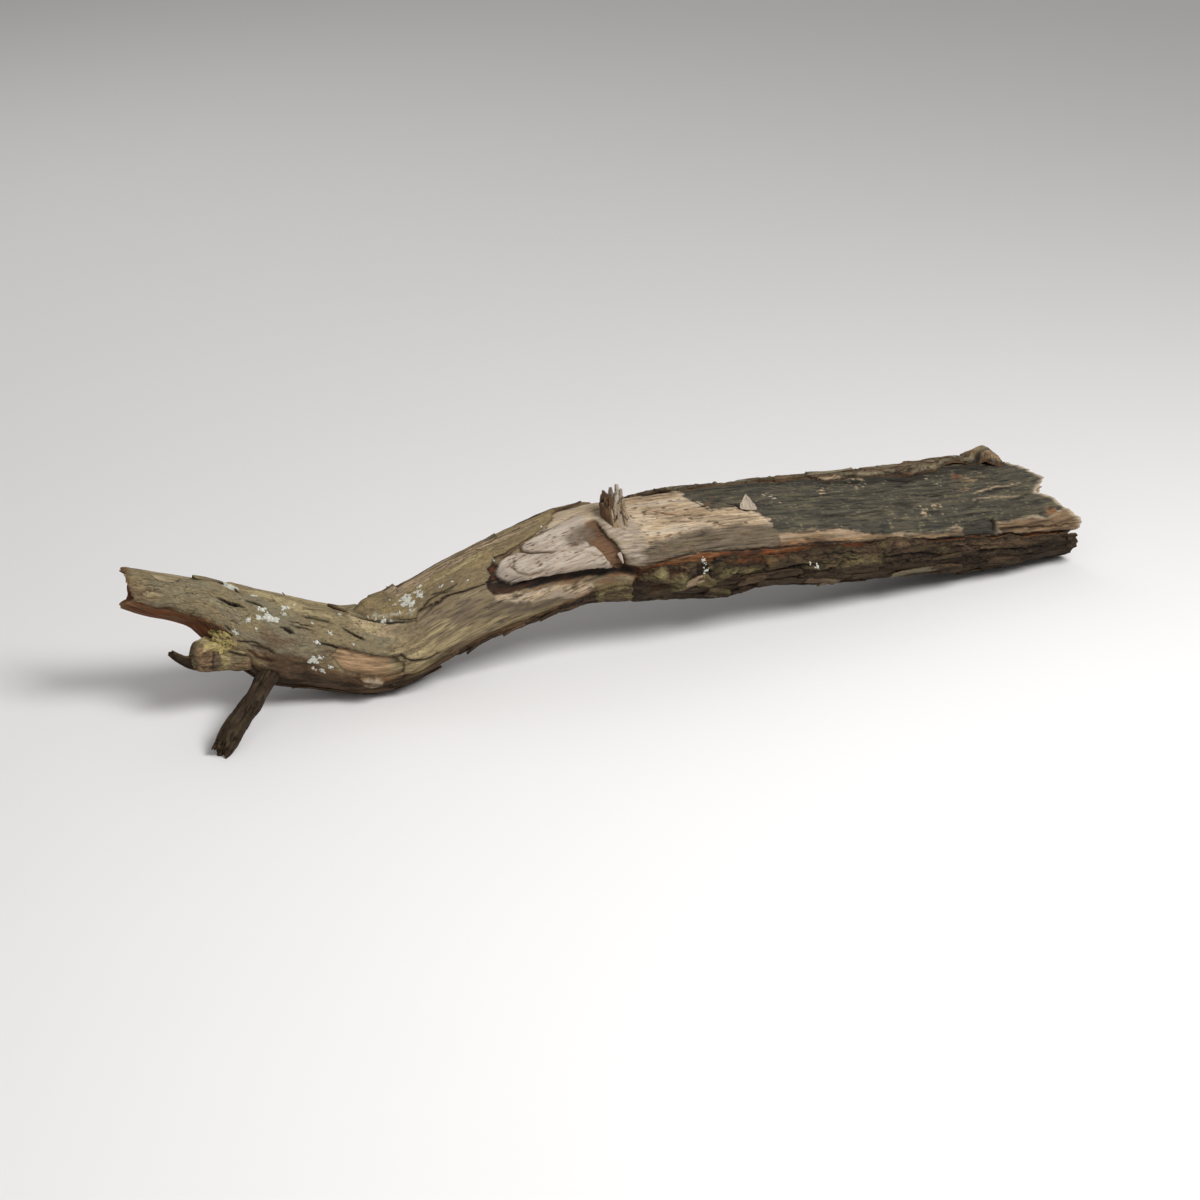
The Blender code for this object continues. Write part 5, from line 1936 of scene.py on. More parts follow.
WOOD_GROOVES = (
    Groove(
        ((-244, 33), (-245, 44), (-238, 55), (-224, 63), (-207, 65), (-188, 62)),
        1.6, 1.7, Tone.BROWN_BARK, 0.85, 0.6, 0.5,
    ),
    Groove(((-236, 35), (-238, 42), (-243, 46)), 1.2, 1.5, Tone.BROWN_BARK, 0.8, 0.5, 0),
    Groove(
        ((-213, 18), (-218, 29), (-207, 37), (-191, 42), (-176, 47), (-165, 49)),
        3.0, 2.2, Tone.DARK_ROT, 0.95, 0.8, 0.5,
    ),
    Groove(((-165, 49), (-134, 57), (-112, 68), (-88, 82)), 1.6, 2.2, Tone.GREY_WOOD, 0.7, 1.0, 0),
    Groove(
        ((-272, 40), (-270, 54), (-253, 66), (-229, 71), (-178, 77), (-128, 84), (-94, 91)),
        3.0, 2.4, Tone.CRACK_SHADOW, 0.9, 1.0, 0.5,
    ),
    Groove(((-182, 18), (-160, 14), (-136, 11)), 1.5, 2.0, Tone.DARK_ROT, 0.85),
    Groove(((10, 18), (25, 24), (36, 28), (60, 32)), 2.4, 1.8, Tone.RED_ROT, 1.0, 1.5),
    Groove(((24, 24), (34, 27)), 2.4, 1.8, Tone.CRACK_SHADOW, 1.0, 1.0),
    Groove(
        ((-40, 92), (-10, 87), (61, 79), (117, 81), (192, 84), (230, 83), (269, 83), (327, 83), (385, 84)),
        3.2, 2.0, Tone.CRACK_SHADOW, 1.0, 2.5,
    ),
    Groove(
        ((465, 85), (527, 88), (590, 89), (676, 91), (766, 95), (845, 101)),
        3.2, 2.2, Tone.CRACK_SHADOW, 1.0, 2.5,
    ),
    Groove(((637, 42), (660, 40), (690, 37), (725, 37), (747, 36)), 1.4, 1.5, Tone.TAN_WOOD, 1.0, 3.0, 3.0),
    Groove(((655, 44), (690, 41), (730, 40)), 1.8, 1.1, Tone.CRACK_SHADOW, 1.0, 3.0, 3.0),
    Groove(((625, 51), (667, 49), (710, 51), (748, 51)), 1.0, 1.3, Tone.TAN_WOOD, 0.9, 2.5, 2.0),
    Groove(((150, 24), (168, 27), (180, 35), (188, 40)), 3.0, 2.2, Tone.CRACK_SHADOW, 1.0, 1.0),
    Groove(((260, 20), (330, 24), (400, 20)), 1.8, 1.3, Tone.CRACK_SHADOW, 0.9, 3.0, 3.0),
    Groove(((480, 34), (560, 38), (640, 32)), 1.8, 1.3, Tone.CRACK_SHADOW, 0.9, 3.0, 3.0),
    Groove(((300, 52), (380, 56), (450, 54)), 1.8, 1.3, Tone.CRACK_SHADOW, 0.9, 3.0, 3.0),
    Groove(((670, 84), (740, 86), (800, 90), (860, 93)), 3.0, 1.8, Tone.DARK_ROT, 1.0, 2.0),
    Groove(((658, 73), (665, 79), (663, 87)), 4.0, 3.4, Tone.CRACK_SHADOW, 1.0, 1.0, 0.0),
    Groove(((248, -17), (262, -11), (278, -7)), 4.0, 4.5, Tone.CRACK_SHADOW, 1.0, 2.0, 0.0),
    Groove(((394, 2), (410, 5), (430, 3)), 4.0, 4.0, Tone.CRACK_SHADOW, 1.0, 2.0, 0.0),
    Groove(((478, 3), (500, 8), (526, 13)), 4.0, 4.5, Tone.CRACK_SHADOW, 1.0, 2.0, 0.0),
    Groove(((620, -4), (646, -5), (670, 0), (690, 6)), 4.0, 4.0, Tone.CRACK_SHADOW, 1.0, 2.0, 0.0),
    Groove(((-810, -20), (-720, -60), (-640, -90)), 2.0, 2.6, Tone.DARK_ROT, 0.8),
    Groove(
        ((-532, -4), (-515, 19), (-480, 28), (-438, 37), (-408, 51)),
        3.0, 4.0, Tone.CRACK_SHADOW, 1.0, 2.0, 0.0,
    ),
    Groove(
        ((-402, 51), (-380, 45), (-346, 44), (-320, 48), (-286, 48), (-278, 32), (-254, 20)),
        1.5, 2.6, Tone.CRACK_SHADOW, 0.95, 5.0, 0.0,
    ),
    Groove(
        ((-262, 24), (-244, 26), (-218, 23), (-187, 16), (-164, 10), (-145, 0), (-135, -12)),
        1.5, 1.8, Tone.DARK_ROT, 0.9, 5.0, 0.0,
    ),
)
WOOD_LEDGES = (
    Ledge(((-94, 25), (-91, 38), (-86, 50), (-72, 62), (-64, 71), (-54, 88)), 2.6, 14, Side.RIGHT),
    Ledge(
        ((87, -14), (88, 2), (101, 15), (120, 33), (172, 28), (204, 42), (218, 53), (222, 64)),
        1.2, 30, Side.RIGHT,
    ),
    Ledge(((232, 71), (314, 71), (347, 69), (381, 75), (443, 81)), 1.2, 10, Side.LEFT),
    Ledge(((230, 84), (385, 85), (527, 89), (676, 92), (766, 96), (850, 102)), 1.5, 8, Side.RIGHT),
)

SLEEVE = BarkSheet(
    "fork_sleeve_bark",
    "bark_fork_sleeve",
    FORM,
    6.5,
    (
        (-903, -16), (-870, -3), (-846, 34), (-826, 32), (-806, 14), (-757, -4), (-748, -40), (-745, -150),
        (-560, -150), (-532, -130), (-544, -106), (-510, -86), (-526, -62), (-505, -40), (-530, -2),
        (-515, 18), (-480, 26), (-438, 35), (-408, 48), (-412, 74), (-412, 96), (-390, 112), (-372, 136),
        (-400, 204), (-720, 204), (-735, 150), (-742, 100), (-750, 92), (-761, 95), (-785, 100), (-805, 95),
        (-826, 91), (-847, 96), (-862, 90), (-878, 87), (-883, 80), (-895, 50), (-903, 4),
    ),
    holes=(
        (
            (-574, 80), (-563, 68), (-539, 68), (-505, 73), (-472, 80), (-455, 93), (-461, 107),
            (-493, 103), (-545, 98),
        ),
    ),
    tone=Tone.OLIVE_BARK,
    other=Tone.GREY_BARK,
    lifts=BARK_LIFTS,
    thinned=((-406, 80, 0.86, 46, 60), (-890, 30, 0.75, 42, 90), (-800, 95, 0.4, 60, 14)),
    patches=(
        Patch(
            ((-800, -30), (-560, -30), (-530, 10), (-545, 26), (-600, 32), (-650, 24), (-700, 14),
             (-760, 2)),
            Tone.OLIVE_LIGHT, Tone.OLIVE_BARK, 16, 6, 0, 0.8, 14, 0.25,
        ),
        Patch(
            ((-870, 10), (-800, 40), (-740, 30), (-700, 50), (-740, 84), (-860, 76)),
            Tone.OLIVE_BARK, Tone.GREY_BARK, 16, 6, 0, 0.9, 10, 0.12, 0.8,
        ),
        Patch(
            ((-893, 40), (-850, 50), (-840, 80), (-880, 88)),
            Tone.OLIVE_LIGHT, Tone.INNER_BARK, 14, 6, 0, 0.9, 6, 0.2, 0.6,
        ),
        Patch(
            ((-910, -20), (-898, -8), (-890, 60), (-876, 92), (-900, 92)),
            Tone.OLIVE_SHADE, Tone.INNER_BARK, 9, 4, 0, 0.8,
        ),
        Patch(
            ((-690, 64), (-600, 62), (-560, 78), (-600, 100), (-690, 92)),
            Tone.GREY_BARK, Tone.BROWN_BARK, 16, 6, 0, 0.5, 14, 0.3, 0.7,
        ),
        Patch(
            ((-700, 102), (-676, 90), (-646, 84), (-606, 87), (-576, 98), (-440, 110), (-380, 140),
             (-400, 210), (-730, 210), (-740, 130)),
            Tone.DARK_BARK_AND_SHADE, Tone.BROWN_BARK, 12, 5, 0, 0.6, 14, 0.25,
        ),
        Patch(
            ((-800, 93), (-761, 90), (-744, 84), (-728, 88), (-726, 112), (-745, 150), (-760, 120)),
            Tone.RED_ROT, Tone.DARK_ROT, 8, 4, -1, 0.9, 6, 0.2,
        ),
        Patch(
            ((-548, 14), (-515, 23), (-480, 31), (-430, 43), (-418, 54), (-430, 62), (-488, 52), (-534, 38)),
            Tone.PINK_WOOD, Tone.OLIVE_LIGHT, 7, 6, -0.6, 0.9, 6, 0.12, 0.9,
        ),
        Patch(
            ((-452, 60), (-436, 58), (-430, 66), (-440, 72), (-452, 68)),
            Tone.TAN_PATCH, Tone.PINK_WOOD, 4, 2, 0.6, 0.8, 4, 0.4,
        ),
        Patch(
            ((-745, 98), (-700, 92), (-672, 98), (-662, 110), (-690, 122), (-745, 126)),
            Tone.TAN_DARK, Tone.OLIVE_BARK, 9, 5, 0.5, 0.6, 8, 0.14,
        ),
        Patch(
            ((-600, 96), (-560, 98), (-500, 102), (-450, 104), (-440, 112), (-520, 116), (-600, 108)),
            Tone.INNER_BARK, Tone.BROWN_BARK, 8, 5, 0, 0.8,
        ),
        Patch(
            ((-516, 106), (-504, 103), (-492, 106), (-490, 114), (-500, 119), (-514, 115)),
            Tone.GREY_WOOD, Tone.BROWN_BARK, 5, 3, 7.0, 0.8, 5, 0.3,
        ),
        *BEND_PATCHES,
        Patch(
            ((-745, -150), (-560, -150), (-520, -120), (-520, -50), (-745, -50)),
            Tone.BROWN_BARK, Tone.GREY_BARK, 20, 6, 0, 0.8, 14, 0.25, 0.8,
        ),
    ),
    ledges=(
        Ledge(((-800, -8), (-785, -2), (-772, 1), (-760, 6), (-748, 11), (-734, 18)), 4.0, 14, Side.RIGHT),
        Ledge(((-766, 48), (-744, 43), (-724, 40)), 2.6, 14, Side.RIGHT),
        Ledge(((-730, 29), (-711, 29), (-695, 31)), 2.6, 12, Side.RIGHT),
        Ledge(((-632, 31), (-613, 32), (-589, 34), (-570, 36)), 2.6, 14, Side.RIGHT),
        Ledge(((-650, 47), (-624, 49), (-600, 50)), 2.2, 12, Side.RIGHT),
        Ledge(
            ((-604, 62), (-578, 66), (-553, 69), (-527, 72), (-500, 75), (-470, 80), (-440, 98)),
            4.0, 16, Side.RIGHT,
        ),
        Ledge(((-560, 41), (-537, 50), (-515, 57)), 2.4, 12, Side.RIGHT),
    ),
    grooves=(
        Groove(
            ((-794, -5), (-785, -1), (-772, 2), (-760, 7), (-748, 12), (-730, 20)),
            3.4, 1.3, ragged=0.8, jog=0.6,
        ),
        Groove(((-764, 47), (-752, 47), (-740, 44), (-722, 42)), 3.4, 1.3, jog=1.0),
        Groove(((-750, 47), (-734, 44)), 4.5, 2.2, jog=0.0),
        Groove(((-728, 29), (-711, 29), (-695, 31)), 3.0, 1.2, jog=1.0),
        Groove(((-629, 31), (-613, 32), (-596, 33), (-576, 35)), 3.4, 1.4, jog=1.0),
        Groove(((-666, 55), (-654, 54), (-644, 55), (-634, 60)), 4.0, 1.4, Tone.CRACK_SHADOW, 1.0, 0.8, 1.0),
        Groove(((-656, 54), (-648, 56), (-640, 59)), 7.0, 3.2, Tone.CRACK_SHADOW, 1.0, 0.8, 0.5),
        Groove(((-650, 43), (-637, 44), (-624, 45), (-606, 46)), 2.4, 1.1),
        Groove(
            ((-604, 62), (-592, 65), (-578, 67), (-553, 70), (-527, 72), (-500, 75), (-478, 79)),
            4.0, 1.5,
        ),
        Groove(((-562, 40), (-555, 43), (-537, 51), (-518, 56)), 3.0, 1.3),
        Groove(
            ((-482, 79), (-459, 80), (-446, 92), (-425, 101), (-402, 103), (-376, 110), (-350, 118)),
            4.0, 2.4, Tone.CRACK_SHADOW, 1.0, 2.0,
        ),
        Groove(((-699, 90), (-684, 87), (-670, 86), (-658, 89)), 3.0, 2.4, Tone.DARK_BARK_AND_SHADE, 0.9, 1.0, 0.0),
        Groove(((-720, 92), (-699, 86), (-684, 84)), 3.0, 1.4),
        Groove(((-700, 98), (-680, 102), (-655, 100)), 4.0, 4.0, Tone.DARK_ROT, 0.8),
        Groove(((-737, 86), (-731, 89), (-724, 88)), 2.5, 1.2, jog=0),
        Groove(((-741, 80), (-733, 83), (-724, 81)), 2.0, 1.1, jog=0),
        Groove(((-540, 12), (-526, 20), (-503, 25), (-474, 31), (-446, 38), (-410, 50)), 4.5, 2.4, jog=0.0),
        Groove(((-660, -60), (-600, -66), (-560, -58)), 3.4, 3.0),
        Groove(((-720, -100), (-650, -112), (-600, -104)), 3.4, 3.0),
    ),
    fissure_depth=1.2,
    cracked=-0.5,
    fibre=0.45,
    clear_of=(SIDE_BRANCH, LOWER_FORK),
)
BEND = BarkSheet(
    "bend_bark",
    "bark_bend_sheet",
    FORM,
    6.5,
    (
        (-530, -2), (-515, 19), (-480, 27), (-438, 36), (-406, 50), (-396, 42), (-379, 43), (-346, 45),
        (-320, 48), (-292, 49), (-284, 42), (-280, 32), (-262, 23), (-244, 24), (-218, 21), (-187, 14),
        (-164, 8), (-146, -1), (-135, -14), (-118, -28), (-70, -36), (-40, -60), (-62, -82), (-34, -98),
        (-66, -118), (-42, -136), (-50, -150), (-300, -150), (-535, -148), (-532, -130), (-544, -106),
        (-510, -86), (-526, -62), (-505, -40),
    ),
    tone=Tone.BEND_OLIVE,
    other=Tone.OLIVE_SHADE,
    lifts=BARK_LIFTS,
    thinned=((-180, 6, 0.5, 70, 14), (-290, 44, 0.5, 60, 10), (-160, -4, 0.5, 60, 12)),
    patches=(
        Patch(
            ((-430, -22), (-340, -26), (-200, -18), (-150, -10), (-200, 0), (-300, 3), (-410, 4)),
            Tone.TAN_WOOD, Tone.OLIVE_SHADE, 6, 8, -0.8, 1.0, 6, 0.04,
        ),
        Patch(
            ((-410, 8), (-300, 8), (-250, 6), (-280, 18), (-380, 24)),
            Tone.OLIVE_LIGHT, Tone.BEND_OLIVE, 12, 6, 0, 0.9, 7, 0.06, 0.7,
        ),
        Patch(
            ((-430, -60), (-300, -60), (-120, -40), (-120, -24), (-300, -28), (-430, -28)),
            Tone.BROWN_BARK, Tone.DARK_BARK_AND_SHADE, 8, 5, 0, 0.8,
        ),
        Patch(
            ((-500, 20), (-480, 23), (-438, 31), (-408, 45), (-400, 40), (-438, 26), (-480, 16)),
            Tone.LICHEN_RIM, Tone.OLIVE_LIGHT, 4, 6, 0.3, 0.6, 5, 0.2, 0.6,
        ),
        Patch(
            ((-520, -150), (-60, -150), (-50, -50), (-500, -60)),
            Tone.BROWN_BARK, Tone.GREY_BARK, 20, 5, 0, 0.8, 14, 0.25,
        ),
    ),
    ledges=(
        Ledge(((-408, 4), (-356, 2), (-309, 6), (-239, 5), (-200, 6)), 1.6, 12, Side.LEFT),
        Ledge(((-402, -60), (-402, -30), (-404, -12), (-410, 0)), 7.0, 70, Side.LEFT),
    ),
    grooves=(
        Groove(((-380, -14), (-330, -16), (-280, -12), (-220, -8)), 2.0, 1.8, Tone.BROWN_BARK, 1.0, 3.0),
        Groove(((-400, -8), (-330, -6), (-260, -4)), 1.6, 1.5, Tone.BROWN_BARK, 1.0, 3.0),
        Groove(((-398, 42), (-378, 38), (-356, 37), (-340, 40)), 2.6, 1.4),
        Groove(((-372, 33), (-350, 36), (-330, 36)), 2.0, 1.2),
        Groove(((-300, -80), (-220, -86), (-160, -80)), 3.4, 3.0),
        Groove(((-440, -90), (-360, -96), (-300, -110)), 3.4, 3.0),
    ),
    fissure_depth=0.9,
    cracked=-0.6,
    fibre=0.4,
)
BELLY = BarkSheet(
    "belly_bark",
    "bark_belly_sheet",
    FORM,
    6.5,
    (
        (-372, 136), (-340, 128), (-260, 130), (-190, 124), (-128, 116), (-110, 113), (-36, 114),
        (-30, 125), (-18, 160), (-5, 206), (-100, 206), (-400, 204),
    ),
    tone=Tone.BROWN_BARK,
    other=Tone.DARK_BARK_AND_SHADE,
    plate_height=2.4,
    plate_size=15,
    patches=(
        Patch(
            ((-118, 107), (-80, 106), (-36, 108), (-14, 124), (-12, 146), (-92, 147), (-112, 126)),
            Tone.OLIVE_MOSSY, Tone.BROWN_BARK, 3, 3, 1.0, 0.8, 9, 0.3,
        ),
    ),
)
UNDERSIDE = BarkSheet(
    "underside_bark",
    "bark_underside_sheet",
    FORM,
    8.0,
    (
        (-36, 112), (-24, 96), (0, 89), (50, 88), (95, 87), (150, 88), (215, 92), (251, 90), (321, 87),
        (385, 88), (431, 85), (475, 86), (543, 90), (603, 91), (663, 92), (744, 96), (813, 101), (848, 104),
        (858, 120), (862, 140), (850, 180), (822, 222), (600, 228), (300, 226), (20, 220), (-5, 206),
        (-18, 160), (-30, 125),
    ),
    tone=Tone.UNDER_BARK_AND_SHADE,
    other=Tone.DARK_BARK_AND_SHADE,
    lifts=BARK_LIFTS,
    plate_height=4.6,
    plate_size=17,
    plate_drawn=0.2,
    patches=(
        Patch(
            ((-30, 90), (10, 87), (50, 90), (50, 104), (0, 108), (-34, 104)),
            Tone.OLIVE_MOSSY, Tone.BROWN_BARK, 6, 6, 2.0, 0.9, 12, 0.4,
        ),
        Patch(
            ((80, 92), (130, 94), (190, 100), (160, 118), (90, 116), (70, 104)),
            Tone.OLIVE_MOSSY, Tone.DARK_BARK_AND_SHADE, 8, 6, 1.5, 0.9, 12, 0.4,
        ),
        Patch(
            ((-20, 104), (0, 106), (20, 108), (26, 118), (0, 124), (-18, 118)),
            Tone.DARK_ROT, Tone.UNDER_BARK_AND_SHADE, 5, 4, -3.0, 0.8,
        ),
        Patch(
            ((16, 91), (44, 91), (52, 96), (38, 99), (20, 99)),
            Tone.DARK_ROT, Tone.INNER_BARK, 4, 3, -3.0, 0.8,
        ),
        Patch(
            ((68, 90), (92, 90), (98, 102), (84, 112), (70, 106)),
            Tone.DARK_ROT, Tone.CRACK_SHADOW, 5, 4, -4.0, 0.8,
        ),
        Patch(
            ((-10, 97), (-7, 92), (2, 89), (11, 91), (15, 97), (11, 102), (3, 104), (-6, 102)),
            Tone.KNOB_OLIVE, Tone.OLIVE_MOSSY, 6, 2, 0, 0.2, 6, 0.7,
        ),
        Patch(
            ((24, 107), (29, 100), (42, 97), (58, 99), (67, 106), (62, 114), (46, 118), (30, 115)),
            Tone.KNOB_OLIVE, Tone.OLIVE_MOSSY, 9, 2, 0, 0.2, 8, 0.7, 0.85,
        ),
        Patch(
            ((120, 88), (200, 90), (250, 90), (210, 96), (130, 94)),
            Tone.RED_ROT, Tone.DARK_BARK_AND_SHADE, 6, 5, 0, 0.9, 6, 0.2, 0.7,
        ),
        Patch(
            ((250, 92), (420, 88), (470, 90), (440, 104), (300, 108)),
            Tone.OLIVE_MOSSY, Tone.BROWN_BARK, 14, 6, 0.6, 0.8, 14, 0.2, 0.55,
        ),
        Patch(
            ((430, 88), (480, 88), (600, 94), (700, 96), (780, 100), (760, 108), (600, 104), (460, 96)),
            Tone.BROWN_BARK, Tone.UNDER_BARK_AND_SHADE, 12, 6, 0, 0.8,
        ),
        Patch(
            ((770, 94), (880, 96), (880, 160), (790, 150), (750, 112)),
            Tone.DARK_BARK_AND_SHADE, Tone.UNDER_BARK_AND_SHADE, 10, 6, 0, 0.8,
        ),
        Patch(
            ((100, 118), (300, 118), (600, 120), (860, 116), (860, 160), (20, 160), (40, 126)),
            Tone.DARK_BARK_AND_SHADE, Tone.UNDER_BARK_AND_SHADE, 14, 6, 0, 0.8,
        ),
    ),
    ledges=(
        Ledge(((190, 110), (260, 105), (330, 104), (400, 106)), 4.0, 12, Side.LEFT),
        Ledge(((420, 104), (500, 102), (560, 106)), 3.4, 12, Side.LEFT),
        Ledge(((620, 106), (700, 110), (790, 114)), 3.4, 12, Side.LEFT),
        Ledge(((30, 126), (100, 136), (160, 130)), 4.5, 14, Side.LEFT),
    ),
    grooves=(
        Groove(((200, 110), (260, 103), (330, 102)), 4.0, 2.2),
        Groove(((420, 102), (480, 100), (560, 104)), 3.4, 2.2),
        Groove(((620, 104), (700, 108), (790, 112)), 3.4, 2.2),
        Groove(((260, 96), (330, 93), (400, 94)), 3.0, 1.6),
        Groove(((520, 96), (600, 97), (680, 100)), 3.0, 1.6),
    ),
    fissure_depth=2.0,
    ragged=7.0,
)
BACK = BarkSheet(
    "back_bark",
    "bark_back_sheet",
    FORM,
    7.0,
    (
        (20, -34), (60, -20), (108, -18), (180, -28), (245, -26), (262, -18), (275, -12), (341, -19),
        (352, -3), (391, 0), (440, -3), (478, -2), (532, 8), (560, 2), (601, -2), (640, -14), (686, -4),
        (712, 3), (738, 1), (741, -12), (746, -26), (795, -60), (830, -100), (815, -134), (600, -128),
        (300, -130), (20, -136), (-50, -146), (-40, -60),
    ),
    tone=Tone.GREY_BARK,
    other=Tone.BROWN_BARK,
    lifts=BARK_LIFTS,
    plate_height=3.6,
    plate_size=16,
    patches=(
        Patch(
            ((20, -50), (830, -110), (800, -134), (-40, -140)),
            Tone.BROWN_BARK, Tone.DARK_BARK_AND_SHADE, 20, 5, 0, 0.8, 14, 0.25, 0.7,
        ),
        Patch(
            ((600, -40), (668, -40), (668, -2), (640, -6), (604, -4)),
            Tone.GREY_BARK, Tone.BROWN_BARK, 5, 5, 4.0, 0.8, 8, 0.2,
        ),
        Patch(
            ((684, -44), (728, -40), (730, 4), (696, 4), (688, -16)),
            Tone.GREY_BARK, Tone.TAN_DARK, 5, 4, 11.0, 0.8, 8, 0.3,
        ),
        Patch(
            ((728, -30), (750, -30), (750, 6), (730, 6)),
            Tone.TAN_WOOD, Tone.INNER_BARK, 4, 4, 3.0, 0.8, 5, 0.3,
        ),
        Patch(
            ((346, -8), (391, -4), (391, 2), (346, 0)),
            Tone.TAN_WOOD, Tone.TAN_SHADE, 4, 4, 0, 0.9, 5, 0.2, 0.8,
        ),
    ),
    grooves=(
        Groove(((246, -31), (258, -25), (272, -18)), 4.0, 4.0),
        Groove(((396, -5), (412, -4), (430, -5)), 4.0, 3.6),
        Groove(((478, -7), (500, -2), (522, 1)), 4.0, 4.0),
        Groove(((640, -17), (660, -16), (676, -13), (688, -6)), 6.0, 4.0),
    ),
    fissure_depth=2.0,
    ragged=6.0,
)

BARK_FLAKES = (
    Flake(-556, -4, 46, 16, 4.0, 8, 9, -4, Tone.BROWN_BARK, curl=2, seed=3),
    Flake(-768, -7, 46, 18, 4.0, 2, 4.6, 0.6, Tone.OLIVE_BARK, seed=41),
    Flake(-404, -22, 26, 12, 3.0, 186, 7, 8, Tone.BROWN_BARK, curl=-3, seed=42),
    Flake(-650, -16, 16, 5, 1.6, 190, 6, 5, Tone.BROWN_BARK, seed=2),
    Flake(-246, -20, 24, 14, 3.0, 5, 6, 3, Tone.GREY_BARK, seed=6),
    Flake(-104, -18, 26, 12, 3.0, 0, 5, 3, Tone.BROWN_BARK, seed=7),
    Flake(45, -20, 44, 14, 3.2, 2, 3, 5, Tone.BROWN_BARK, seed=8),
    Flake(60, -18, 30, 12, 3.2, 182, 4, 4, Tone.DARK_BARK_AND_SHADE, seed=25),
    Flake(92, 110, 36, 26, 6, 20, 9, 3, Tone.OLIVE_MOSSY, seed=9),
    Flake(126, 132, 44, 26, 7, 10, 10, 5, Tone.DARK_BARK_AND_SHADE, Tone.OLIVE_MOSSY, seed=10),
    Flake(184, 118, 52, 22, 5, 175, 9, 4, Tone.BROWN_BARK, seed=11),
    Flake(330, 130, 60, 22, 6, 4, 9, 5, Tone.BROWN_BARK, Tone.GREY_BARK, seed=12),
    Flake(352, 136, 40, 18, 6, 176, 9, 5, Tone.GREY_BARK, seed=13),
    Flake(515, 126, 96, 18, 5, 178, 9, 6, Tone.GREY_BARK, Tone.BROWN_BARK, seed=14),
    Flake(580, 124, 60, 20, 5, 2, 9, 4, Tone.DARK_BARK_AND_SHADE, Tone.BROWN_BARK, seed=15),
    Flake(700, 122, 66, 20, 5, 6, 9, 4, Tone.DARK_BARK_AND_SHADE, Tone.BROWN_BARK, seed=16),
    Flake(-446, 126, 40, 16, 4, 170, 7, 5, Tone.DARK_BARK_AND_SHADE, seed=18),
    Flake(-340, 136, 44, 14, 4, 174, 7, 4, Tone.DARK_BARK_AND_SHADE, seed=19),
    Flake(-270, 133, 40, 14, 4, 174, 7, 4, Tone.BROWN_BARK, seed=20),
    Flake(-205, 128, 36, 14, 4, 174, 7, 4, Tone.DARK_BARK_AND_SHADE, seed=21),
    *strewn_flakes(14, (80.0, 730.0), (106.0, 128.0), 8.2, (Tone.UNDER_BARK_AND_SHADE, Tone.DARK_BARK_AND_SHADE), 11),
    *strewn_flakes(22, (60.0, 790.0), (128.0, 200.0), 8.2, (Tone.DARK_BARK_AND_SHADE, Tone.UNDER_BARK_AND_SHADE), 12),
    *strewn_flakes(10, (280.0, 690.0), (-30.0, -16.0), 6.6, (Tone.GREY_BARK, Tone.BROWN_BARK), 13),
    *strewn_flakes(22, (60.0, 740.0), (-120.0, -40.0), 7.2, (Tone.GREY_BARK, Tone.BROWN_BARK), 14),
    *strewn_flakes(8, (-700.0, -420.0), (118.0, 170.0), 6.6, (Tone.DARK_BARK_AND_SHADE, Tone.BROWN_BARK), 15),
    *strewn_flakes(12, (-700.0, -100.0), (-130.0, -56.0), 6.6, (Tone.GREY_BARK, Tone.BROWN_BARK), 16),
)
WOOD_FLAKES = (
    Flake(191, 26, 40, 34, 2.0, -79, 2.6, 1.5, Tone.SLATE_FLAKE, Tone.PALE_SHADE, taper=0.94, seed=31),
    Flake(70, 108, 36, 20, 4.0, 165, 10, 2, Tone.PINK_WOOD, Tone.BROWN_BARK, taper=0.25, seed=34),
    Flake(-65, 77, 20, 8, 2.0, 70, 1.2, 3, Tone.PALE_WOOD, Tone.BLUE_GREY, taper=0.7, seed=35),
)
LICHEN_SPOTS = (
    (-750, 10, 9), (-698, 36, 7), (-659, 23, 8), (-658, 34, 5), (-682, 46, 12), (-700, 50, 7),
    (-715, 59, 6), (-715, 15, 5), (-726, 82, 4), (-722, 84, 3), (-562, 17, 4), (-580, 50, 4.5),
    (-599, 64, 5), (-598, 88, 9), (-590, 84, 5), (-596, 100, 5), (-581, 102, 5), (-571, 94, 5),
    (-463, 30, 6), (-404, 12, 8), (-403, 20, 10), (-400, 28, 7), (-384, 24, 7), (-385, 16, 6),
    (-376, 10, 5), (-408, 36, 3), (-425, 30, 4), (-428, 2, 3), (-424, 14, 4), (-350, 29, 3), (-334, 31, 2),
    (-315, 38, 2), (-264, 25, 2), (-165, 5, 3), (-505, 20, 3), (-484, 25, 4), (-470, 30, 6), (-452, 34, 3),
    (87, 97, 6), (86, 88, 5), (304, 104, 4), (-640, 12, 3), (-610, 40, 3), (-700, 66, 3), (-540, 62, 3),
    (290, 101, 3),
)
MOSS_SPOTS = (
    (-744, 100, 5), (-738, 95, 5), (-732, 91, 5), (-727, 98, 5), (-735, 104, 5), (-722, 104, 4),
    (-746, 107, 5), (-729, 109, 4), (-718, 98, 3),
)
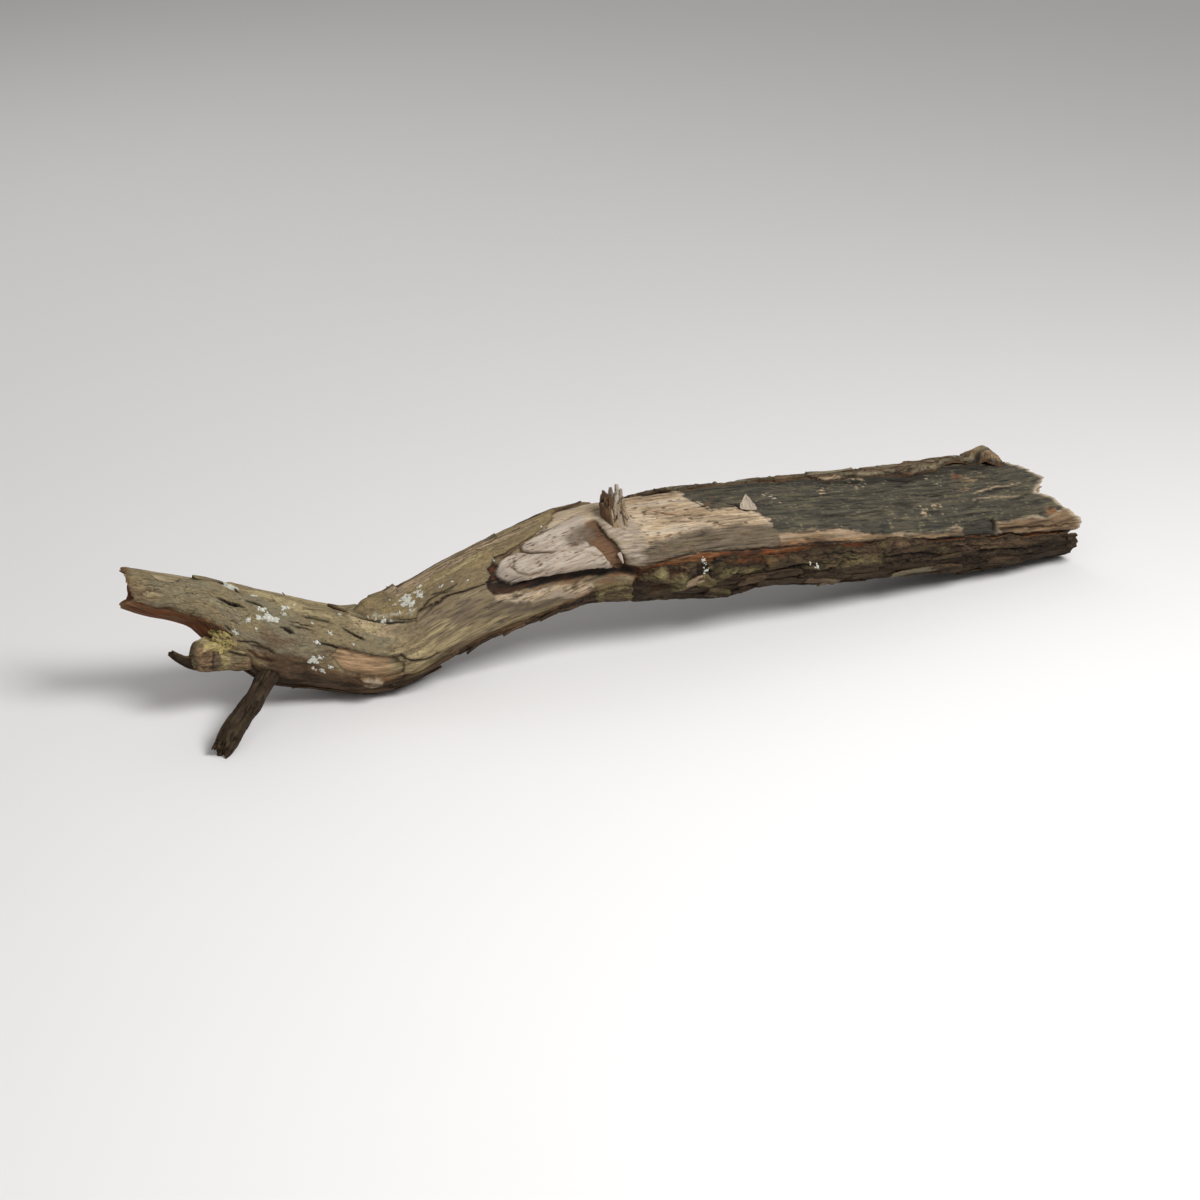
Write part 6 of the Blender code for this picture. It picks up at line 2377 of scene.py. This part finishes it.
FORK_PATCHES = (
    Patch(
        ((20, 100), (80, 110), (92, 150), (92, 200), (20, 200)),
        Tone.OLIVE_LIGHT, Tone.OLIVE_BARK, 8, 4, 0.5, 0.8, 9, 0.12, 0.7,
    ),
    Patch(
        ((10, 40), (100, 40), (100, 96), (60, 104), (10, 96)),
        Tone.TAN_DARK, Tone.OLIVE_BARK, 8, 4, 0, 0.7, 9, 0.2,
    ),
    Patch(
        ((84, 30), (104, 30), (106, 112), (88, 116)),
        Tone.OLIVE_LIGHT, Tone.MOSS_DARK, 5, 4, 0.6, 0.6, 6, 0.5,
    ),
    Patch(
        ((100, 70), (122, 74), (122, 122), (104, 124)),
        Tone.KNOB_GREY, Tone.BROWN_BARK, 6, 4, 1.0, 0.3, 9, 0.5,
    ),
    Patch(
        ((117, 20), (140, 20), (140, 160), (120, 150)),
        Tone.TAN_DARK, Tone.BROWN_BARK, 5, 4, 0, 0.5, 7, 0.5,
    ),
    Patch(
        ((84, 124), (128, 128), (128, 200), (84, 220)),
        Tone.MOSS, Tone.OLIVE_LIGHT, 6, 6, 1.4, 0.8, 6, 0.5,
    ),
    # The underside of the lower fork, painted dark: painted shade over its brown bark.
    Patch(((-20, -80), (140, -80), (140, 26), (-20, 30)), Tone.DARK_BARK_AND_SHADE, Tone.BROWN_BARK, 12, 4, 0, 0.6),
)
FORK_GROOVES = (
    Groove(((92, 122), (80, 112), (62, 100), (44, 98), (34, 112)), 3.4, 2.2, Tone.CRACK_SHADOW, 1.0, 1.5, 1.0),
    Groove(((116, 60), (118, 90), (114, 128)), 1.8, 1.8, Tone.DARK_ROT, 0.9, 1.0, 0),
)
STUB_PATCHES = (
    # The stub's left side, painted dark brown: its browner wood, with painted shade on the side away from the
    # light.
    Patch(
        ((-30, -70), (200, -70), (200, 66), (-30, 78)),
        Tone.INNER_BARK, Tone.BROWN_BARK, 5, 4, -0.6, 0.9, 7, 0.15,
    ),
    Patch(
        ((-30, 78), (30, 78), (36, 190), (-30, 190)),
        Tone.BLUE_GREY, Tone.PALE_SHADE, 12, 4, 0.8, 0.9, 7, 0.15,
    ),
    Patch(((52, 84), (62, 92), (66, 100), (56, 98)), Tone.CRACK_SHADOW, Tone.CRACK_SHADOW, 3, 3, -2),
)


class DeadTreeTrunk:
    """The whole trunk: its pieces, in the order in which they are made."""

    def __init__(self, form: TrunkForm) -> None:
        """Makes the three finishes that the pieces share."""
        self.form = form
        self.wood = FibreFinish().material()
        self.bark = CrustFinish().material()
        self.growth = GrowthFinish("crusty_growth").material()
        self.solid: List[Shape] = []

    def place(self, shape: Shape, name: str, finish: bpy.types.Material, slot: str, node: str) -> None:
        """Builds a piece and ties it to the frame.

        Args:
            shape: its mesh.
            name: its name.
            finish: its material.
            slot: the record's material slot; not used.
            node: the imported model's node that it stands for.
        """
        piece = shape.build(name, finish)
        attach(piece, "root")
        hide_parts(node)
        LOG.info("%s: %d faces", name, len(shape.faces))

    def bare_wood(self) -> None:
        """The trunk's wood, the limbs that grew with it, and the torn splinters."""
        trunk = TrunkWood(self.form, WOOD_PATCHES, WOOD_GROOVES, WOOD_LEDGES, WOOD_SPECKS).shape()
        # The side branch lies under the trunk; its near black tones are painted shade over dark bark.
        branch = Limb(
            SIDE_BRANCH, Tone.DARK_BARK_AND_SHADE, Tone.BRANCH_BARK_AND_SHADE, sides=84, ridge=2.2, lump=1.8, tear=9, blocky=6,
            tip_tone=Tone.BROWN_BARK,
        ).shape()
        fork = Limb(
            LOWER_FORK, Tone.OLIVE_BARK, Tone.BROWN_BARK, sides=130, step=1.8, ridge=1.3, lump=2.4, tear=2,
            tip_tone=Tone.RED_ROT, patches=FORK_PATCHES, grooves=FORK_GROOVES, seed=1,
        ).shape()
        shard = Limb(
            CURLED_SHARD, Tone.DARK_BARK_AND_SHADE, Tone.BROWN_BARK, sides=40, step=1.6, flat=0.6, lump=0.8, tear=4,
            tip_tone=Tone.DARK_ROT, seed=2,
        ).shape()
        stub = Limb(
            STUB, Tone.GREY_WOOD, Tone.TAN_SHADE, sides=110, step=1.7, ridge=3.2, lump=2.0, tear=9, blocky=5,
            tip_tone=Tone.GREY_WOOD, patches=STUB_PATCHES, fibre=1.0, seed=3,
        ).shape()
        self.solid += [trunk, fork, branch]
        self.place(trunk, "trunk_wood", self.wood, "bare_wood", "wood")
        self.place(branch, "side_branch", self.bark, "bark", "wood")
        self.place(Shape.joined([fork, shard]), "lower_fork", self.bark, "bark", "wood")
        self.place(Shape.joined([stub, *self.stub_fibres()]), "snapped_stub", self.wood, "bare_wood", "wood")
        self.place(Shape.joined(self.break_fibres()), "end_splinters", self.wood, "bare_wood", "wood")

    def stub_fibres(self) -> List[Shape]:
        """The fibres that stand up round the stub's torn top."""
        count, sunk, highest = 34, 22, 303
        draw = random.Random(5)
        shaded = Splinters(Tone.INNER_BARK, Tone.BROWN_BARK, 0.5)
        lit = Splinters(Tone.PALE_WOOD, Tone.GREY_WOOD, 0.5)
        x, y, z, half = STUB[-1]
        for n in range(count):
            angle = math.tau * n / count + draw.uniform(-0.1, 0.1)
            reach = half * draw.uniform(0.4, 0.94)
            root = (x + reach * math.cos(angle), y + reach * math.sin(angle), z - sunk)
            top = highest - draw.uniform(0, 18) + 0.25 * (root[0] - x)
            tip = (root[0] + draw.uniform(-2, 2), root[1] + draw.uniform(-2, 2), top)
            # Shaded and lit copies of the fibres: those on the stub's left are painted in dark shade tones,
            # the rest in pale lit tones.
            made = shaded if root[0] < x - 0.2 * half else lit
            made.add(root, tip, draw.uniform(2.6, 5.6), draw.uniform(0.5, 0.9), 40 + n)
        return shaded.shapes + lit.shapes

    def break_fibres(self) -> List[Shape]:
        """The splinters that stick out of the thick end."""
        count, rooted = 64, 70.0
        draw = random.Random(8)
        made = Splinters()
        knots, reach = np.array(self.form.thick_break, float).T
        for n in range(count):
            turn = 360 * (n + draw.uniform(-0.4, 0.4)) / count
            end = float(np.interp(turn_between(np.array(turn), 0), knots, reach))
            near, far = self.form.sections(np.array([end - rooted, end]))[0]
            inside = draw.uniform(0.35, 0.86)
            root = near + inside * (self.form.skin(np.array(end - rooted), np.array(turn)) - near)
            tip = root + (far - near) * (1 + draw.uniform(-0.25, 0.13))
            made.add(root, tip, draw.uniform(3.0, 6.5), draw.uniform(0.35, 0.8), 70 + n)
        return made.shapes

    def bark_sheets(self) -> None:
        """The five loosened sheets of bark."""
        for sheet in (SLEEVE, BEND, BELLY, UNDERSIDE, BACK):
            shape = sheet.shape()
            self.solid.append(shape)
            self.place(shape, sheet.name, self.bark, "bark", sheet.node)

    def loose_flakes(self) -> None:
        """The flakes of bark and wood that have come loose."""
        bark = Shape.joined([flake.shape(self.form) for flake in BARK_FLAKES])
        wood = Shape.joined([flake.shape(self.form) for flake in WOOD_FLAKES])
        self.place(bark, "loose_bark_flakes", self.bark, "bark", "bark_underside_sheet")
        self.place(wood, "loose_wood_flakes", self.wood, "bare_wood", "wood")

    def growths(self) -> None:
        """The lichen and the moss."""
        ground = Shape.joined(self.solid).tree()
        lichen = Growth(self.form, ground, Tone.LICHEN, Tone.LICHEN_RIM, 1.0, 0.5, LICHEN_SPOTS).shape()
        moss = Growth(self.form, ground, Tone.MOSS, Tone.MOSS_DARK, 1.7, 0.8, MOSS_SPOTS, 3.2).shape()
        self.place(lichen, "crusty_lichen", self.growth, "bark", "bark_fork_sleeve")
        self.place(moss, "cushion_moss", self.growth, "bark", "bark_fork_sleeve")

    def build(self) -> None:
        """Makes every piece."""
        self.bare_wood()
        self.bark_sheets()
        self.loose_flakes()
        self.growths()


def main() -> None:
    """Sets up the studio and builds the trunk."""
    logging.basicConfig(level=logging.INFO, format="%(name)s: %(message)s")
    Studio().set_up()
    DeadTreeTrunk(FORM).build()


if __name__ == "__main__":
    main()
